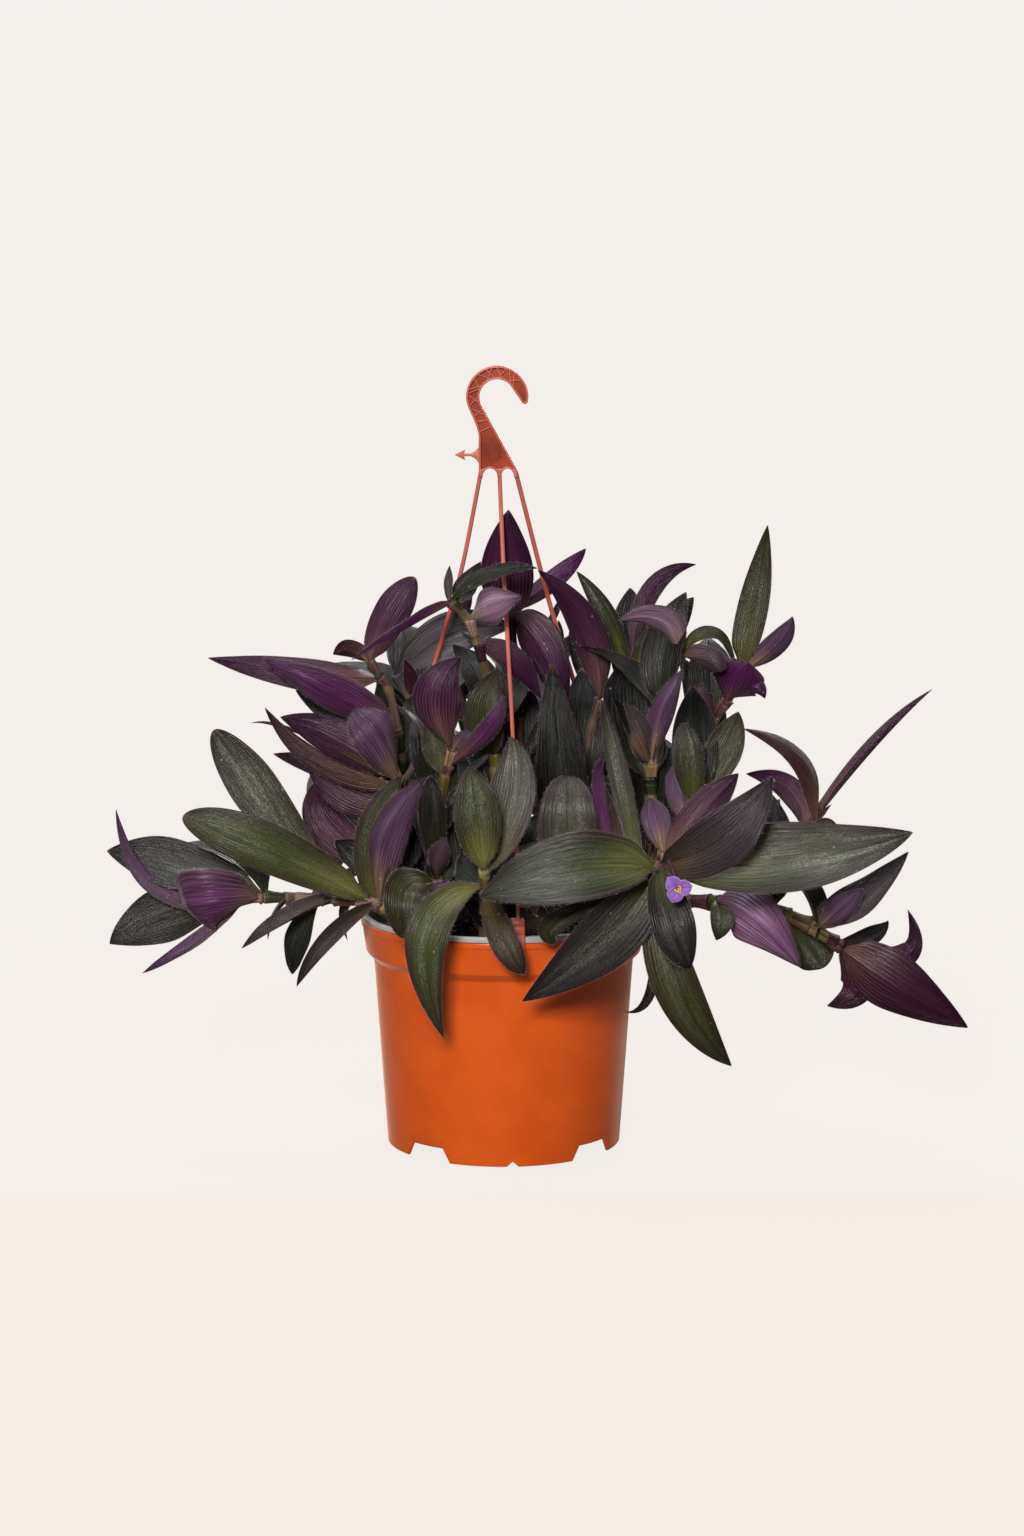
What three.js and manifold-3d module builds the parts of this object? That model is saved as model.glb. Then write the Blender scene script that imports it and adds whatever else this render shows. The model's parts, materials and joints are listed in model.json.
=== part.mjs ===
// A purple-heart tradescantia in a plastic hanging pot, in millimetres, +Z up.
// The origin is on the pot's axis, at the level that its feet stand on; the viewer stands at -Y.
import * as THREE from "three";
import { mergeVertices } from "three/addons/utils/BufferGeometryUtils.js";
import Module from "manifold-3d";

const wasm = await Module();
wasm.setup();

// ---- driving dimensions -------------------------------------------------------------------

// Hanging pot: an outer shell that stands on four wide feet.
const POT = {
  rimRadius: 84.9,
  rimTop: 135.9,
  rimStep: 3.6,
  bandBottomRadius: 81.9,
  bandBottom: 116.6,
  bodyTopRadius: 77.4,
  bodyTop: 112,
  bodyBottomRadius: 70.6,
  floorTop: 16,
  floorBottom: 13.8,
  footRadius: 69.6,
  wall: 1.8,
  sides: 32,
};
const FEET = { count: 4, turn: 4.5, archHalfAngle: 9.5, archHeight: 8.5, archSlant: 5 };
const NOTCH = { width: 7, height: 3 };
const PAD_RADIUS = 12;

// Grow pot inside it: only its light lip shows.
const LINER = { gap: 0.5, wall: 1.3, floor: 1.8, lipRadius: 85, lipTop: 139.5 };
const DRAIN = { count: 4, radius: 5, ring: 42, sides: 8 };
const SEAT_GAP = 0.3;

// Soil, mounded a little and lumpy.
const SOIL = { top: 126, mound: 3, lump: 1.3, rings: 4, sides: 16, holeGap: 0.7 };

// Hanger: one moulded piece with a hook, a plate, an arrow at its side, three legs and three clips.
const HOOK = {
  x: -3.6, z: 444.6, outer: 18.2, inner: 10.4, thick: 6, border: 1.4, recess: 1.6, rib: 0.9, ribs: 7,
};
const PLATE = { left: -14.4, right: 8.8, foot: 401, discX: -5.8, discZ: 411.1, discRadius: 3 };
const LEG_WIDTH = 2.3;
const CLIP = { width: 7.5, face: 87.7, inner: 85.4, tongue: 80, top: 150, foot: 120.5, tongueFoot: 132 };
const LEGS = [
  { angle: 5.7, path: [[-2.3, -1, 404], [0, -18, 348], [3, -36, 296], [6, -55, 240], [8, -73, 185]] },
  { angle: -111, path: [[-13.2, 0, 404], [-24, 3, 346], [-35, 8, 306], [-46, 14, 268], [-62, 22, 203]] },
  { angle: 129, path: [[8.2, 1, 404], [21, 8, 346], [31, 15, 309], [44, 25, 266], [57, 40, 202]] },
];

// Leaves: a fleshy blade on a fold line; the values below are shared by all of them.
// Stations are where the blade is measured off: 0 is its root, 1 its widest place, 2 its tip.
const BLADE = 1.5;
const LONG_LEAF = { over: 70, stations: [0, 0.4, 1, 1.45, 1.8] };
const MIDDLE_LEAF = { over: 38, stations: [0, 0.4, 1, 1.65] };
const SHORT_LEAF = { over: 0, stations: [0, 0.8, 1.6] };
const ROOT_WIDTH = 4.4;
const CLASP_FOLD = 1.0;

// Leaf outlines: where the blade is widest, how round its tip is (a low number is blunt),
// how wide its base is against its greatest width, and how far its halves fold up, in radians.
const PLAIN = { peak: 0.45, tipRound: 0.85, base: 0.4, fold: 0.25 };
const FULL = { ...PLAIN, peak: 0.55 };
const BLUNT = { ...PLAIN, peak: 0.6, tipRound: 0.55 };
const FAN = { ...PLAIN, peak: 0.8, tipRound: 0.22 };
const BROAD = { ...PLAIN, peak: 0.62, tipRound: 0.55, base: 0.6 };
const TAPERED = { ...PLAIN, peak: 0.25, base: 0.6 };
const LOW = { ...PLAIN, peak: 0.35 };
const CUPPED = { ...PLAIN, fold: 0.5 };
const FOLDED = { ...PLAIN, fold: 0.8 };

// Stems: five-sided, straight from one joint to the next.
const STEM_SIDES = 5;

// ---- leafy stems --------------------------------------------------------------------------
// A stem is the points of its joints, from the soil to its tip, with a radius at each.
// A leaf says where on the stem it grows (joint number, with parts of a joint after the point),
// its middle and tip, its width, and which way its upper side looks at its middle.
const leaf = (at, mid, tip, wide, face, form = PLAIN) => ({ at, mid, tip, wide, face, form });

const SHOOTS = {
  trailing_left: {
    stem: [
      [-38, -18, 98], [-54, -27, 133], [-75, -38, 151], [-98, -44, 155], [-119, -48, 156],
      [-138, -52, 157], [-153, -54, 156],
    ],
    radii: [3.4, 3.4, 3.4, 3.2, 3, 2.8, 2.2],
    leaves: [
      leaf(2.1, [-134, -66, 186], [-185, -64, 207], 32, [0, -3, 2], BLUNT),
      leaf(3, [-137, -38, 209], [-169, -34, 253], 30, [-1, -3, 1], BLUNT),
      leaf(5, [-189, -44, 173], [-232, -38, 182], 32, [0, -3, 2], FULL),
      leaf(5.2, [-164, -76, 158], [-185, -66, 154], 45, [0, 3, 1], FAN),
      leaf(6, [-200, -50, 165], [-225, -50, 209], 18, [-3, 1, -1], FOLDED),
      leaf(6, [-198, -48, 144], [-230, -50, 129], 36, [0, -3, 2]),
      leaf(5.9, [-183, -62, 135], [-210, -62, 114], 14, [2, 2, -3], FOLDED),
      leaf(3, [-125, -62, 145], [-152, -64, 129], 17, [1, -1, 3], FOLDED),
      leaf(4.4, [-134, -60, 148], [-137, -60, 133], 8, [3, 0, 1]),
      leaf(3.4, [-119, -46, 130], [-124, -42, 109], 20, [-2, -3, 1]),
      leaf(2, [-102, -68, 136], [-120, -66, 107], 15, [2, -1, 2], FOLDED),
      leaf(1.9, [-69, -52, 192], [-45, -52, 228], 27, [1, 3, 0], CUPPED),
      leaf(1.8, [-74, -40, 190], [-59, -36, 227], 26, [-1, -3, 0]),
    ],
  },
  upper_left: {
    stem: [[-40, 12, 98], [-57, 4, 163], [-59, 0, 206], [-62, -4, 246], [-67, -6, 273], [-79, -5, 289]],
    radii: [3.2, 3.2, 3, 2.8, 2.6, 2.2],
    leaves: [
      leaf(4.4, [-118, -10, 284], [-174, -8, 292], 22, [0, 3, -2]),
      leaf(3.1, [-97, -28, 272], [-141, -26, 294], 25, [0, 3, 1]),
      leaf(3, [-94, -2, 257], [-123, 0, 272], 20, [0, -3, -1]),
      leaf(5, [-68, -6, 314], [-52, -2, 339], 22, [0, 3, 0], BROAD),
      leaf(4.9, [-90, 6, 294], [-101, 8, 292], 16, [0, 3, 2]),
      leaf(4.6, [-69, 6, 261], [-73, 8, 273], 20, [0, -3, 1]),
    ],
  },
  middle_left: {
    stem: [[-50, 4, 98], [-59, -10, 153], [-59, -16, 191], [-60, -20, 216], [-64, -22, 229]],
    radii: [3.2, 3.2, 3, 2.8, 2.4],
    leaves: [
      leaf(3.2, [-72, -44, 250], [-88, -34, 265], 30, [-1, 3, -1], BLUNT),
      leaf(3.3, [-49, -34, 248], [-63, -26, 267], 14, [3, -1, 0]),
      leaf(3.4, [-98, -6, 242], [-132, -2, 256], 27, [0, 3, 1]),
      leaf(3.2, [-105, -20, 235], [-140, -18, 264], 22, [1, 2, -3], FOLDED),
      leaf(3.3, [-121, 6, 245], [-150, 6, 251], 8, [1, 1, 3]),
      leaf(2.6, [-92, -12, 213], [-117, -8, 236], 26, [0, 3, -1]),
      leaf(1.4, [-103, 6, 189], [-108, 10, 218], 28, [-1, 2, 0]),
      leaf(1.8, [-80, -2, 193], [-104, -2, 211], 20, [0, -3, 3]),
      leaf(1.2, [-84, -6, 172], [-100, -4, 182], 20, [0, -3, 1]),
    ],
  },
  top_left: {
    stem: [
      [-12, -8, 98], [-6, -26, 180], [-5, -29, 228], [-7, -32, 276], [-15, -34, 304],
      [-20, -36, 318], [-30, -38, 328],
    ],
    radii: [3, 3, 2.8, 2.7, 2.6, 2.6, 2.2],
    leaves: [
      leaf(6, [-54, -50, 316], [-88, -52, 296], 15, [1, 1, 3], CUPPED),
      leaf(5, [-8, -52, 328], [10, -50, 333], 23, [-1, 2, -1]),
      leaf(6, [-5, -44, 345], [20, -38, 348], 13, [0, -2, 3]),
      leaf(6, [-31, -34, 339], [-31, -32, 349], 8, [-2, -2, 0]),
      leaf(5.9, [-22, -30, 336], [-13, -28, 351], 14, [0, -3, 1]),
      leaf(2.2, [-11, -40, 263], [-3, -34, 289], 25, [0, -3, 1]),
      leaf(4, [7, -30, 294], [22, -28, 270], 17, [0, 3, -2]),
    ],
  },
  top_middle: {
    stem: [[2, 18, 98], [10, 14, 204], [9, 12, 252], [6, 8, 295], [3, 5, 318]],
    radii: [3, 3, 2.8, 2.6, 2.4],
    leaves: [
      leaf(3.6, [2, 0, 341], [3, -4, 379], 33, [0, 3, 0]),
      leaf(4, [31, 30, 335], [49, 28, 353], 13, [-1, 3, -1]),
      leaf(3.9, [22, 0, 297], [37, -2, 259], 29, [0, 3, 2]),
      leaf(2.4, [28, 34, 287], [33, 38, 309], 12, [0, -3, 0]),
    ],
  },
  centre_front: {
    stem: [[-8, -36, 98], [-11, -58, 138], [-11, -80, 166], [-11, -86, 179]],
    radii: [3, 3, 2.8, 2.4],
    leaves: [
      leaf(3, [-15, -94, 215], [-19, -90, 240], 28, [0, -3, 0]),
      leaf(2.7, [5, -80, 222], [4, -74, 255], 28, [0, -3, 0]),
      leaf(2.2, [-42, -106, 145], [-34, -100, 84], 27, [-1, -3, 1]),
      leaf(2.1, [2, -100, 139], [12, -98, 121], 18, [-1, -3, 1]),
      leaf(2, [-19, -70, 173], [-26, -66, 184], 16, [0, -3, 0]),
    ],
  },
  centre_back: {
    stem: [[18, 6, 98], [41, -8, 153], [44, -4, 189], [48, 0, 224], [52, 0, 251], [57, -2, 266]],
    radii: [3.2, 3.2, 3, 2.8, 2.6, 2.4],
    leaves: [
      leaf(1, [34, -26, 223], [28, -20, 290], 31, [0, -3, 0]),
      leaf(0.8, [37, -60, 194], [37, -48, 228], 35, [0, -3, 0], BLUNT),
      leaf(5, [48, -12, 311], [20, -18, 345], 22, [1, 2, -2], LOW),
    ],
  },
  middle_right: {
    stem: [
      [30, -14, 98], [86, -40, 177], [86, -40, 213], [86, -38, 233], [93, -32, 267],
      [99, -30, 288], [103, -30, 296],
    ],
    radii: [3.4, 3.4, 3.3, 3.2, 2.6, 2.5, 2.2],
    leaves: [
      leaf(2.4, [78, -22, 258], [76, -6, 290], 38, [0, -3, 1], BLUNT),
      leaf(3, [92, -52, 265], [104, -50, 291], 17, [0, 2, 0], CUPPED),
      leaf(3, [81, -44, 254], [70, -42, 270], 13, [-1, -3, 0]),
      leaf(6, [91, -42, 318], [66, -46, 318], 20, [0, 3, 2]),
      leaf(6, [124, -24, 307], [137, -22, 280], 13, [2, -2, 3]),
      leaf(6, [117, -38, 295], [127, -40, 288], 18, [0, 2, 1], BLUNT),
      leaf(3, [79, -50, 245], [76, -50, 256], 10, [0, 3, 0]),
    ],
  },
  top_right_behind: {
    stem: [[30, 30, 98], [78, 30, 201], [77, 24, 250], [75, 18, 283]],
    radii: [3, 3, 2.8, 2.4],
    leaves: [
      leaf(3, [61, 6, 317], [43, 4, 342], 15, [-2, -3, 1]),
      leaf(2.9, [87, 30, 326], [115, 32, 343], 13, [-1, 3, -2]),
      leaf(2.8, [95, 14, 303], [113, 18, 325], 22, [0, -3, 1]),
      leaf(1.8, [52, 38, 278], [41, 40, 309], 17, [0, -3, 0]),
    ],
  },
  top_right: {
    stem: [
      [46, 17, 98], [58, 19, 142], [111, 4, 175], [118, -2, 218], [124, -6, 255], [132, -8, 267],
      [140, -8, 284],
    ],
    radii: [3, 3, 3, 2.8, 2.8, 2.8, 2.2],
    leaves: [
      leaf(6, [149, -4, 329], [155, -4, 370], 21, [-1, -3, 0], TAPERED),
      leaf(6, [160, -18, 301], [169, -20, 318], 15, [0, 3, 1]),
      leaf(4.8, [136, -28, 280], [142, -34, 293], 32, [0, 3, 1], BLUNT),
      leaf(5, [144, -22, 277], [153, -24, 270], 18, [0, 3, 1]),
      leaf(4, [115, -24, 259], [107, -26, 264], 14, [0, 3, 0]),
      leaf(4, [116, -14, 268], [118, -14, 277], 16, [0, 3, 0]),
    ],
  },
  upright_right: {
    stem: [[50, -38, 98], [58, -44, 142], [109, -52, 179], [110, -56, 212], [113, -56, 221]],
    radii: [3, 3, 3, 2.8, 2.6],
    leaves: [
      leaf(3.1, [106, -72, 243], [104, -66, 262], 19, [0, -3, 0]),
      leaf(3.2, [127, -54, 244], [136, -50, 266], 23, [0, -3, 0]),
      leaf(2.6, [100, -50, 220], [103, -46, 237], 13, [0, 3, 0]),
    ],
  },
  front_right: {
    stem: [[40, -42, 98], [50, -57, 142], [81, -104, 174], [87, -118, 187], [91, -120, 196]],
    radii: [3.6, 3.6, 3.4, 3.2, 2.4],
    leaves: [
      leaf(3, [36, -140, 188], [-13, -134, 173], 44, [0, -3, 2]),
      leaf(2.8, [60, -124, 150], [11, -106, 107], 36, [1, -3, 1]),
      leaf(2.8, [165, -126, 192], [231, -118, 207], 47, [0, -3, 2], LOW),
      leaf(3.2, [122, -142, 208], [150, -138, 242], 33, [1, -3, 1]),
      leaf(3.6, [114, -118, 220], [133, -108, 239], 21, [-1, 3, -1]),
      leaf(3.9, [86, -112, 214], [83, -106, 225], 17, [0, 2, 0]),
      leaf(3, [95, -142, 158], [105, -136, 132], 26, [0, -3, 1]),
      leaf(2.6, [100, -130, 119], [130, -118, 72], 29, [-1, -3, 0]),
      leaf(2.4, [84, -116, 119], [67, -108, 102], 9, [1, -1, 1]),
      leaf(2, [67, -82, 233], [56, -78, 277], 13, [-1, -3, 0]),
      leaf(1.8, [60, -52, 199], [58, -48, 224], 19, [0, -3, 0]),
      leaf(1.7, [56, -54, 215], [58, -52, 239], 8, [0, 3, 0]),
      leaf(1.8, [32, -100, 153], [30, -98, 139], 13, [0, -3, 1], BLUNT),
    ],
  },
  trailing_right: {
    stem: [
      [58, -8, 98], [68, -18, 144], [108, -62, 157], [136, -78, 158], [159, -84, 155],
      [177, -84, 146], [194, -82, 134],
    ],
    radii: [3.6, 3.6, 3.6, 3.6, 3.8, 3.8, 3],
    leaves: [
      leaf(2.4, [139, -98, 156], [170, -98, 125], 35, [-1, 3, 1]),
      leaf(2.6, [125, -96, 153], [122, -94, 140], 15, [0, -3, 0]),
      leaf(4.2, [177, -68, 132], [186, -66, 118], 26, [0, -3, 1], BLUNT),
      leaf(6, [222, -92, 114], [268, -86, 87], 38, [0, 3, 1]),
      leaf(5.9, [207, -66, 108], [188, -68, 96], 23, [0, 3, 1]),
      leaf(4.9, [205, -92, 162], [231, -96, 192], 27, [0, -2, 3]),
      leaf(5.2, [191, -102, 159], [205, -104, 172], 16, [0, 3, -1]),
      leaf(5.8, [212, -70, 138], [223, -66, 146], 12, [0, -3, 0]),
      leaf(6, [235, -62, 125], [235, -58, 151], 15, [0, 3, 0]),
    ],
  },
  behind_right: {
    stem: [
      [62, 4, 98], [70, 3, 146], [111, -2, 164], [140, -20, 169], [168, -36, 183], [182, -42, 198],
    ],
    radii: [3.2, 3.2, 3.2, 3, 3, 2.4],
    leaves: [
      leaf(4.3, [211, -38, 241], [250, -34, 277], 10, [1, 2, 1], FOLDED),
      leaf(5, [175, -46, 235], [139, -42, 255], 17, [-1, 2, -2]),
      leaf(4.6, [168, -30, 216], [142, -28, 226], 17, [0, 3, 1]),
      leaf(4, [159, -46, 203], [161, -46, 214], 9, [0, -3, 0]),
      leaf(5, [188, -46, 201], [194, -47, 199], 5, [0, -3, 1], FOLDED),
      leaf(5, [186, -44, 206], [191, -46, 211], 4, [1, -3, 0], FOLDED),
    ],
  },
  centre_left: {
    stem: [[-26, -24, 98], [-39, -50, 167], [-38, -50, 196], [-34, -48, 226], [-30, -48, 244]],
    radii: [3, 3, 2.8, 2.6, 2.4],
    leaves: [
      leaf(0.9, [-55, -88, 169], [-56, -94, 141], 25, [0, -3, 1], BLUNT),
      leaf(0.9, [-38, -74, 164], [-32, -74, 171], 15, [0, 3, 0]),
      leaf(4, [-38, -58, 275], [-24, -52, 298], 30, [0, 3, 0]),
      leaf(3.4, [-9, -62, 257], [0, -58, 276], 12, [0, 3, 0]),
      leaf(1.2, [-41, -62, 209], [-42, -60, 230], 17, [0, -3, 0]),
      leaf(1, [-37, -66, 184], [-33, -66, 195], 13, [0, 3, 0]),
      leaf(3, [-37, -38, 245], [-46, -32, 260], 22, [0, -3, 0]),
      leaf(3.9, [-23, -54, 251], [-17, -52, 247], 9, [0, 3, 0]),
    ],
  },
  upper_middle_left: {
    stem: [[-22, 24, 98], [-42, 22, 174], [-48, 22, 222], [-55, 22, 262], [-65, 20, 278]],
    radii: [3, 3, 2.8, 2.6, 2.4],
    leaves: [
      leaf(4, [-31, 24, 302], [6, 26, 306], 28, [0, -3, 1]),
      leaf(3.2, [-55, 12, 276], [-59, 10, 289], 9, [0, 3, 0]),
    ],
  },
};

// Inner leaves fill the middle of the plant, which the photo shows dense and dark. Each says where
// on the stem it grows, which way it leans (degrees round from +X) and how far it leans from upright.
const INNER_LEAF = { long: 70, wide: 28, arch: 18 };
const INNER_LEAVES = {
  trailing_left: [[5, 150, 60]],
  upper_left: [[0.6, 270, 15]],
  top_left: [[2.4, 120, 35]],
  top_middle: [[0.4, 60, 35], [1.4, 120, 15]],
  centre_back: [[2.8, 90, 15]],
  middle_right: [[1, 60, 15], [4, 60, 15]],
  top_right_behind: [[0.8, 90, 15], [2.4, 90, 15]],
  top_right: [[3.2, 120, 15], [3.8, 90, 35]],
  upright_right: [[3.2, 90, 15]],
  trailing_right: [[3.8, 90, 15], [5.2, 150, 35]],
  centre_left: [[2.4, 60, 60]],
  upper_middle_left: [[2.8, 150, 60]],
};

// The stems at the back, which grow as those at the front do: one of them, turned round the
// pot's axis by degrees, drawn in towards its root by a scale, without the leaves left out.
const BACK_SHOOTS = {
  back_low: { like: "front_right", turn: 158, scale: 0.85, without: [5, 8, 9, 10, 11, 12] },
  back_trailing_left: { like: "trailing_left", turn: -64, scale: 0.8, without: [8, 9, 12] },
  back_trailing_right: { like: "trailing_right", turn: 75, scale: 0.75, without: [1, 2, 7] },
  back_middle: { like: "centre_front", turn: 170, scale: 0.95, without: [] },
  back_tall: { like: "top_right", turn: 84, scale: 1, without: [0] },
  back_upper_left: { like: "upper_left", turn: -70, scale: 0.95, without: [4] },
};

// Flower: three petals round yellow stamens, facing the viewer, on a stalk from its shoot's tip.
const FLOWER = { at: [97, -150, 181], heart: 1.5, petal: 8, width: 9.5, thick: 1.2 };
const STAMEN = { count: 4, length: 3.4, rod: 0.45, head: 0.9, tilt: 0.55 };
const STALK = { stem: [[91, -120, 196], [96, -136, 187], [97, -147.8, 181]], radii: [1.3, 0.9, 0.8] };

// ---- geometry helpers ---------------------------------------------------------------------

// Makes a manifold solid of a closed geometry, or of plain points and triangles.
function solidOf(geometry) {
  const bare = geometry.clone();
  bare.deleteAttribute("normal");
  bare.deleteAttribute("uv");
  const merged = mergeVertices(bare, 1e-4);
  const vertProperties = new Float32Array(merged.attributes.position.array);
  const triVerts = new Uint32Array(merged.index.array);
  return new wasm.Manifold(new wasm.Mesh({ numProp: 3, vertProperties, triVerts }));
}

function geometryOf(solid) {
  const mesh = solid.getMesh();
  const geometry = new THREE.BufferGeometry();
  geometry.setAttribute("position", new THREE.BufferAttribute(mesh.vertProperties, 3));
  geometry.setIndex(new THREE.BufferAttribute(mesh.triVerts, 1));
  return geometry;
}

// Joins solids and keeps the one body they make: hollows sealed by the join are filled.
function joined(solids) {
  const whole = solids.reduce((sum, next) => sum.add(next));
  return whole.decompose().reduce((big, next) => (next.volume() > big.volume() ? next : big));
}

// A closed geometry from points and triangles, turned so that its faces look out.
function closedGeometry(points, triangles) {
  let volume = 0;
  for (const [a, b, c] of triangles) {
    volume += points[a].dot(new THREE.Vector3().crossVectors(points[b], points[c]));
  }
  const facing = volume > 0 ? triangles : triangles.map(([a, b, c]) => [a, c, b]);
  const geometry = new THREE.BufferGeometry().setFromPoints(points);
  geometry.setIndex(facing.flat());
  return geometry;
}

// Rings of equal point counts joined into one closed tube, capped at both ends.
function tubeGeometry(rings) {
  const count = rings[0].length;
  const triangles = [];
  for (let i = 0; i + 1 < rings.length; i++) {
    for (let j = 0; j < count; j++) {
      const a = i * count + j;
      const b = i * count + ((j + 1) % count);
      triangles.push([a, b, b + count], [a, b + count, a + count]);
    }
  }
  const last = (rings.length - 1) * count;
  for (let j = 1; j + 1 < count; j++) {
    triangles.push([0, j + 1, j], [last, last + j, last + j + 1]);
  }
  return closedGeometry(rings.flat(), triangles);
}

// Turns a vector with the turn that takes one direction to another.
function carried(vector, from, to) {
  return vector.clone().applyQuaternion(new THREE.Quaternion().setFromUnitVectors(from, to));
}

const vectors = (points) => points.map((p) => new THREE.Vector3(...p));

// ---- leaves and stems ---------------------------------------------------------------------

// The point on a stem that a leaf's place on it names.
function stemPoint(stem, at) {
  const low = Math.min(Math.floor(at), stem.length - 2);
  const [from, to] = vectors(stem.slice(low, low + 2));
  return from.lerp(to, at - low);
}

// The blade's width at t, against its greatest width: a sine swell, then a rounded taper.
function outlineWidth(t, form) {
  if (t < form.peak) {
    return form.base + (1 - form.base) * Math.sin((Math.PI / 2) * (t / form.peak)) ** 0.9;
  }
  return Math.cos((Math.PI / 2) * ((t - form.peak) / (1 - form.peak))) ** form.tipRound;
}

// A leaf: two halves on a fold line that runs from the stem through mid to tip. The blade is
// thickest on that line and thins out to its margins.
function leafSolid(stem, { at, mid, tip, wide, face, form }) {
  const base = stemPoint(stem, at);
  const [middle, end, up] = vectors([mid, tip, face]);
  const control = middle.clone().multiplyScalar(2).sub(base.clone().add(end).multiplyScalar(0.5));
  const rib = new THREE.QuadraticBezierCurve3(base, control, end);
  const along = rib.getTangent(0.5);
  up.addScaledVector(along, -up.dot(along)).normalize();
  const size = [LONG_LEAF, MIDDLE_LEAF, SHORT_LEAF].find(({ over }) => rib.getLength() > over);
  const points = [];
  for (const station of size.stations) {
    const t = Math.min(station, 1) * form.peak + Math.max(station - 1, 0) * (1 - form.peak);
    const tangent = rib.getTangent(t);
    const normal = carried(up, along, tangent);
    const side = new THREE.Vector3().crossVectors(tangent, normal);
    const half = (t === 0 ? ROOT_WIDTH : wide * outlineWidth(t, form)) / 2;
    const fold = form.fold + (CLASP_FOLD - form.fold) * (1 - t) ** 4;
    const [reach, lift] = [half * Math.cos(fold), half * Math.sin(fold)];
    const place = rib.getPoint(t);
    const point = (s, up) => place.clone().addScaledVector(side, s).addScaledVector(normal, up);
    points.push(point(-reach, lift), point(0, BLADE / 2), point(reach, lift), point(0, -BLADE / 2));
  }
  points.push(end);
  return solidOf(closedGeometry(points, leafTriangles(size.stations.length)));
}

// Both faces of a blade are split alike, so that they can't cross each other.
function leafTriangles(steps) {
  const triangles = [];
  const tip = steps * 4;
  for (let i = 0; i < steps; i++) {
    const [left, top, right, under] = [0, 1, 2, 3].map((j) => i * 4 + j);
    for (const [rib, turn] of [[top, 1], [under, -1]]) {
      const [farLeft, farRib, farRight] = [left, rib, right].map((j) => (i + 1 < steps ? j + 4 : tip));
      const faces = [[left, rib, farRib], [rib, right, farRight]];
      if (i + 1 < steps) faces.push([left, farRib, farLeft], [rib, farRight, farRib]);
      triangles.push(...faces.map(([a, b, c]) => (turn > 0 ? [a, b, c] : [a, c, b])));
    }
  }
  triangles.push([0, 2, 1], [0, 3, 2]);
  return triangles;
}

// A stem: a tube through its joints; grow widens it for a hole in the soil.
function stemSolid({ stem, radii }, grow = 0) {
  const joints = vectors(stem);
  let tangent = new THREE.Vector3(0, 0, 1);
  let normal = new THREE.Vector3(1, 0, 0);
  const rings = joints.map((joint, i) => {
    const behind = joints[Math.max(i - 1, 0)];
    const ahead = joints[Math.min(i + 1, joints.length - 1)];
    const next = ahead.clone().sub(behind).normalize();
    normal = carried(normal, tangent, next);
    tangent = next;
    const ring = [];
    for (let k = 0; k < STEM_SIDES; k++) {
      const spoke = normal.clone().applyAxisAngle(tangent, (k / STEM_SIDES) * 2 * Math.PI);
      ring.push(joint.clone().addScaledVector(spoke, radii[i] + grow));
    }
    return ring;
  });
  return solidOf(tubeGeometry(rings));
}

// An inner leaf, arching over by INNER_LEAF.arch degrees from its middle to its tip.
function innerLeaf(stem, [at, azimuth, lean]) {
  const { long, wide, arch } = INNER_LEAF;
  const base = stemPoint(stem, at);
  const [round, tilt, bend] = [azimuth, lean, arch / 2].map(THREE.MathUtils.degToRad);
  const away = (from, reach) => {
    const outward = Math.sin(from) * reach;
    return [
      base.x + outward * Math.cos(round),
      base.y + outward * Math.sin(round),
      base.z + Math.cos(from) * reach,
    ];
  };
  const face = [-Math.cos(round), -Math.sin(round), Math.tan(tilt)];
  return leaf(at, away(tilt - bend, long / 2), away(tilt + bend, long), wide, face);
}

function leafyStem({ stem, radii, leaves, stalks = [] }) {
  const blades = leaves.map((each) => leafSolid(stem, each));
  return joined([stemSolid({ stem, radii }), ...blades, ...stalks.map((stalk) => stemSolid(stalk))]);
}

// A back shoot: a front one turned round the pot's axis and drawn in towards its root.
function turnedShoot({ like, turn, scale, without }) {
  const model = SHOOTS[like];
  const axis = new THREE.Vector3(0, 0, 1);
  const spin = (p) => new THREE.Vector3(...p).applyAxisAngle(axis, THREE.MathUtils.degToRad(turn));
  const root = spin(model.stem[0]);
  const place = (p) => {
    const q = spin(p);
    return [root.x + (q.x - root.x) * scale, root.y + (q.y - root.y) * scale, q.z];
  };
  const leaves = model.leaves
    .filter((_, i) => !without.includes(i))
    .map((l) => ({
      ...l, mid: place(l.mid), tip: place(l.tip), wide: l.wide * scale, face: spin(l.face).toArray(),
    }));
  return { stem: model.stem.map(place), radii: model.radii, leaves };
}

// ---- pot, grow pot and soil ---------------------------------------------------------------

const lathe = (profile, sides = POT.sides) => {
  const points = [...profile, profile[0]].map(([r, z]) => new THREE.Vector2(r, z));
  return solidOf(new THREE.LatheGeometry(points, sides).rotateX(Math.PI / 2));
};

const cylinder = (radius, low, high, sides) =>
  lathe([[0, low], [radius, low], [radius, high], [0, high]], sides);

// The pot's outer radius at the heights where it changes, from the floor to the rim.
const POT_WALL = [
  [POT.bodyBottomRadius, POT.floorBottom],
  [POT.bodyTopRadius, POT.bodyTop],
  [POT.bandBottomRadius, POT.bandBottom],
  [POT.rimRadius - 0.6, POT.rimTop - POT.rimStep],
  [POT.rimRadius, POT.rimTop - POT.rimStep + 0.4],
  [POT.rimRadius, POT.rimTop],
];

// The pot's wall radius at height z, less an inset.
function wallRadius(z, inset) {
  const above = POT_WALL.findIndex(([, height]) => height >= z);
  const [r1, z1] = POT_WALL[Math.max(above, 1)];
  const [r0, z0] = POT_WALL[Math.max(above, 1) - 1];
  return r0 + ((r1 - r0) * (z - z0)) / (z1 - z0) - inset;
}

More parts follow.
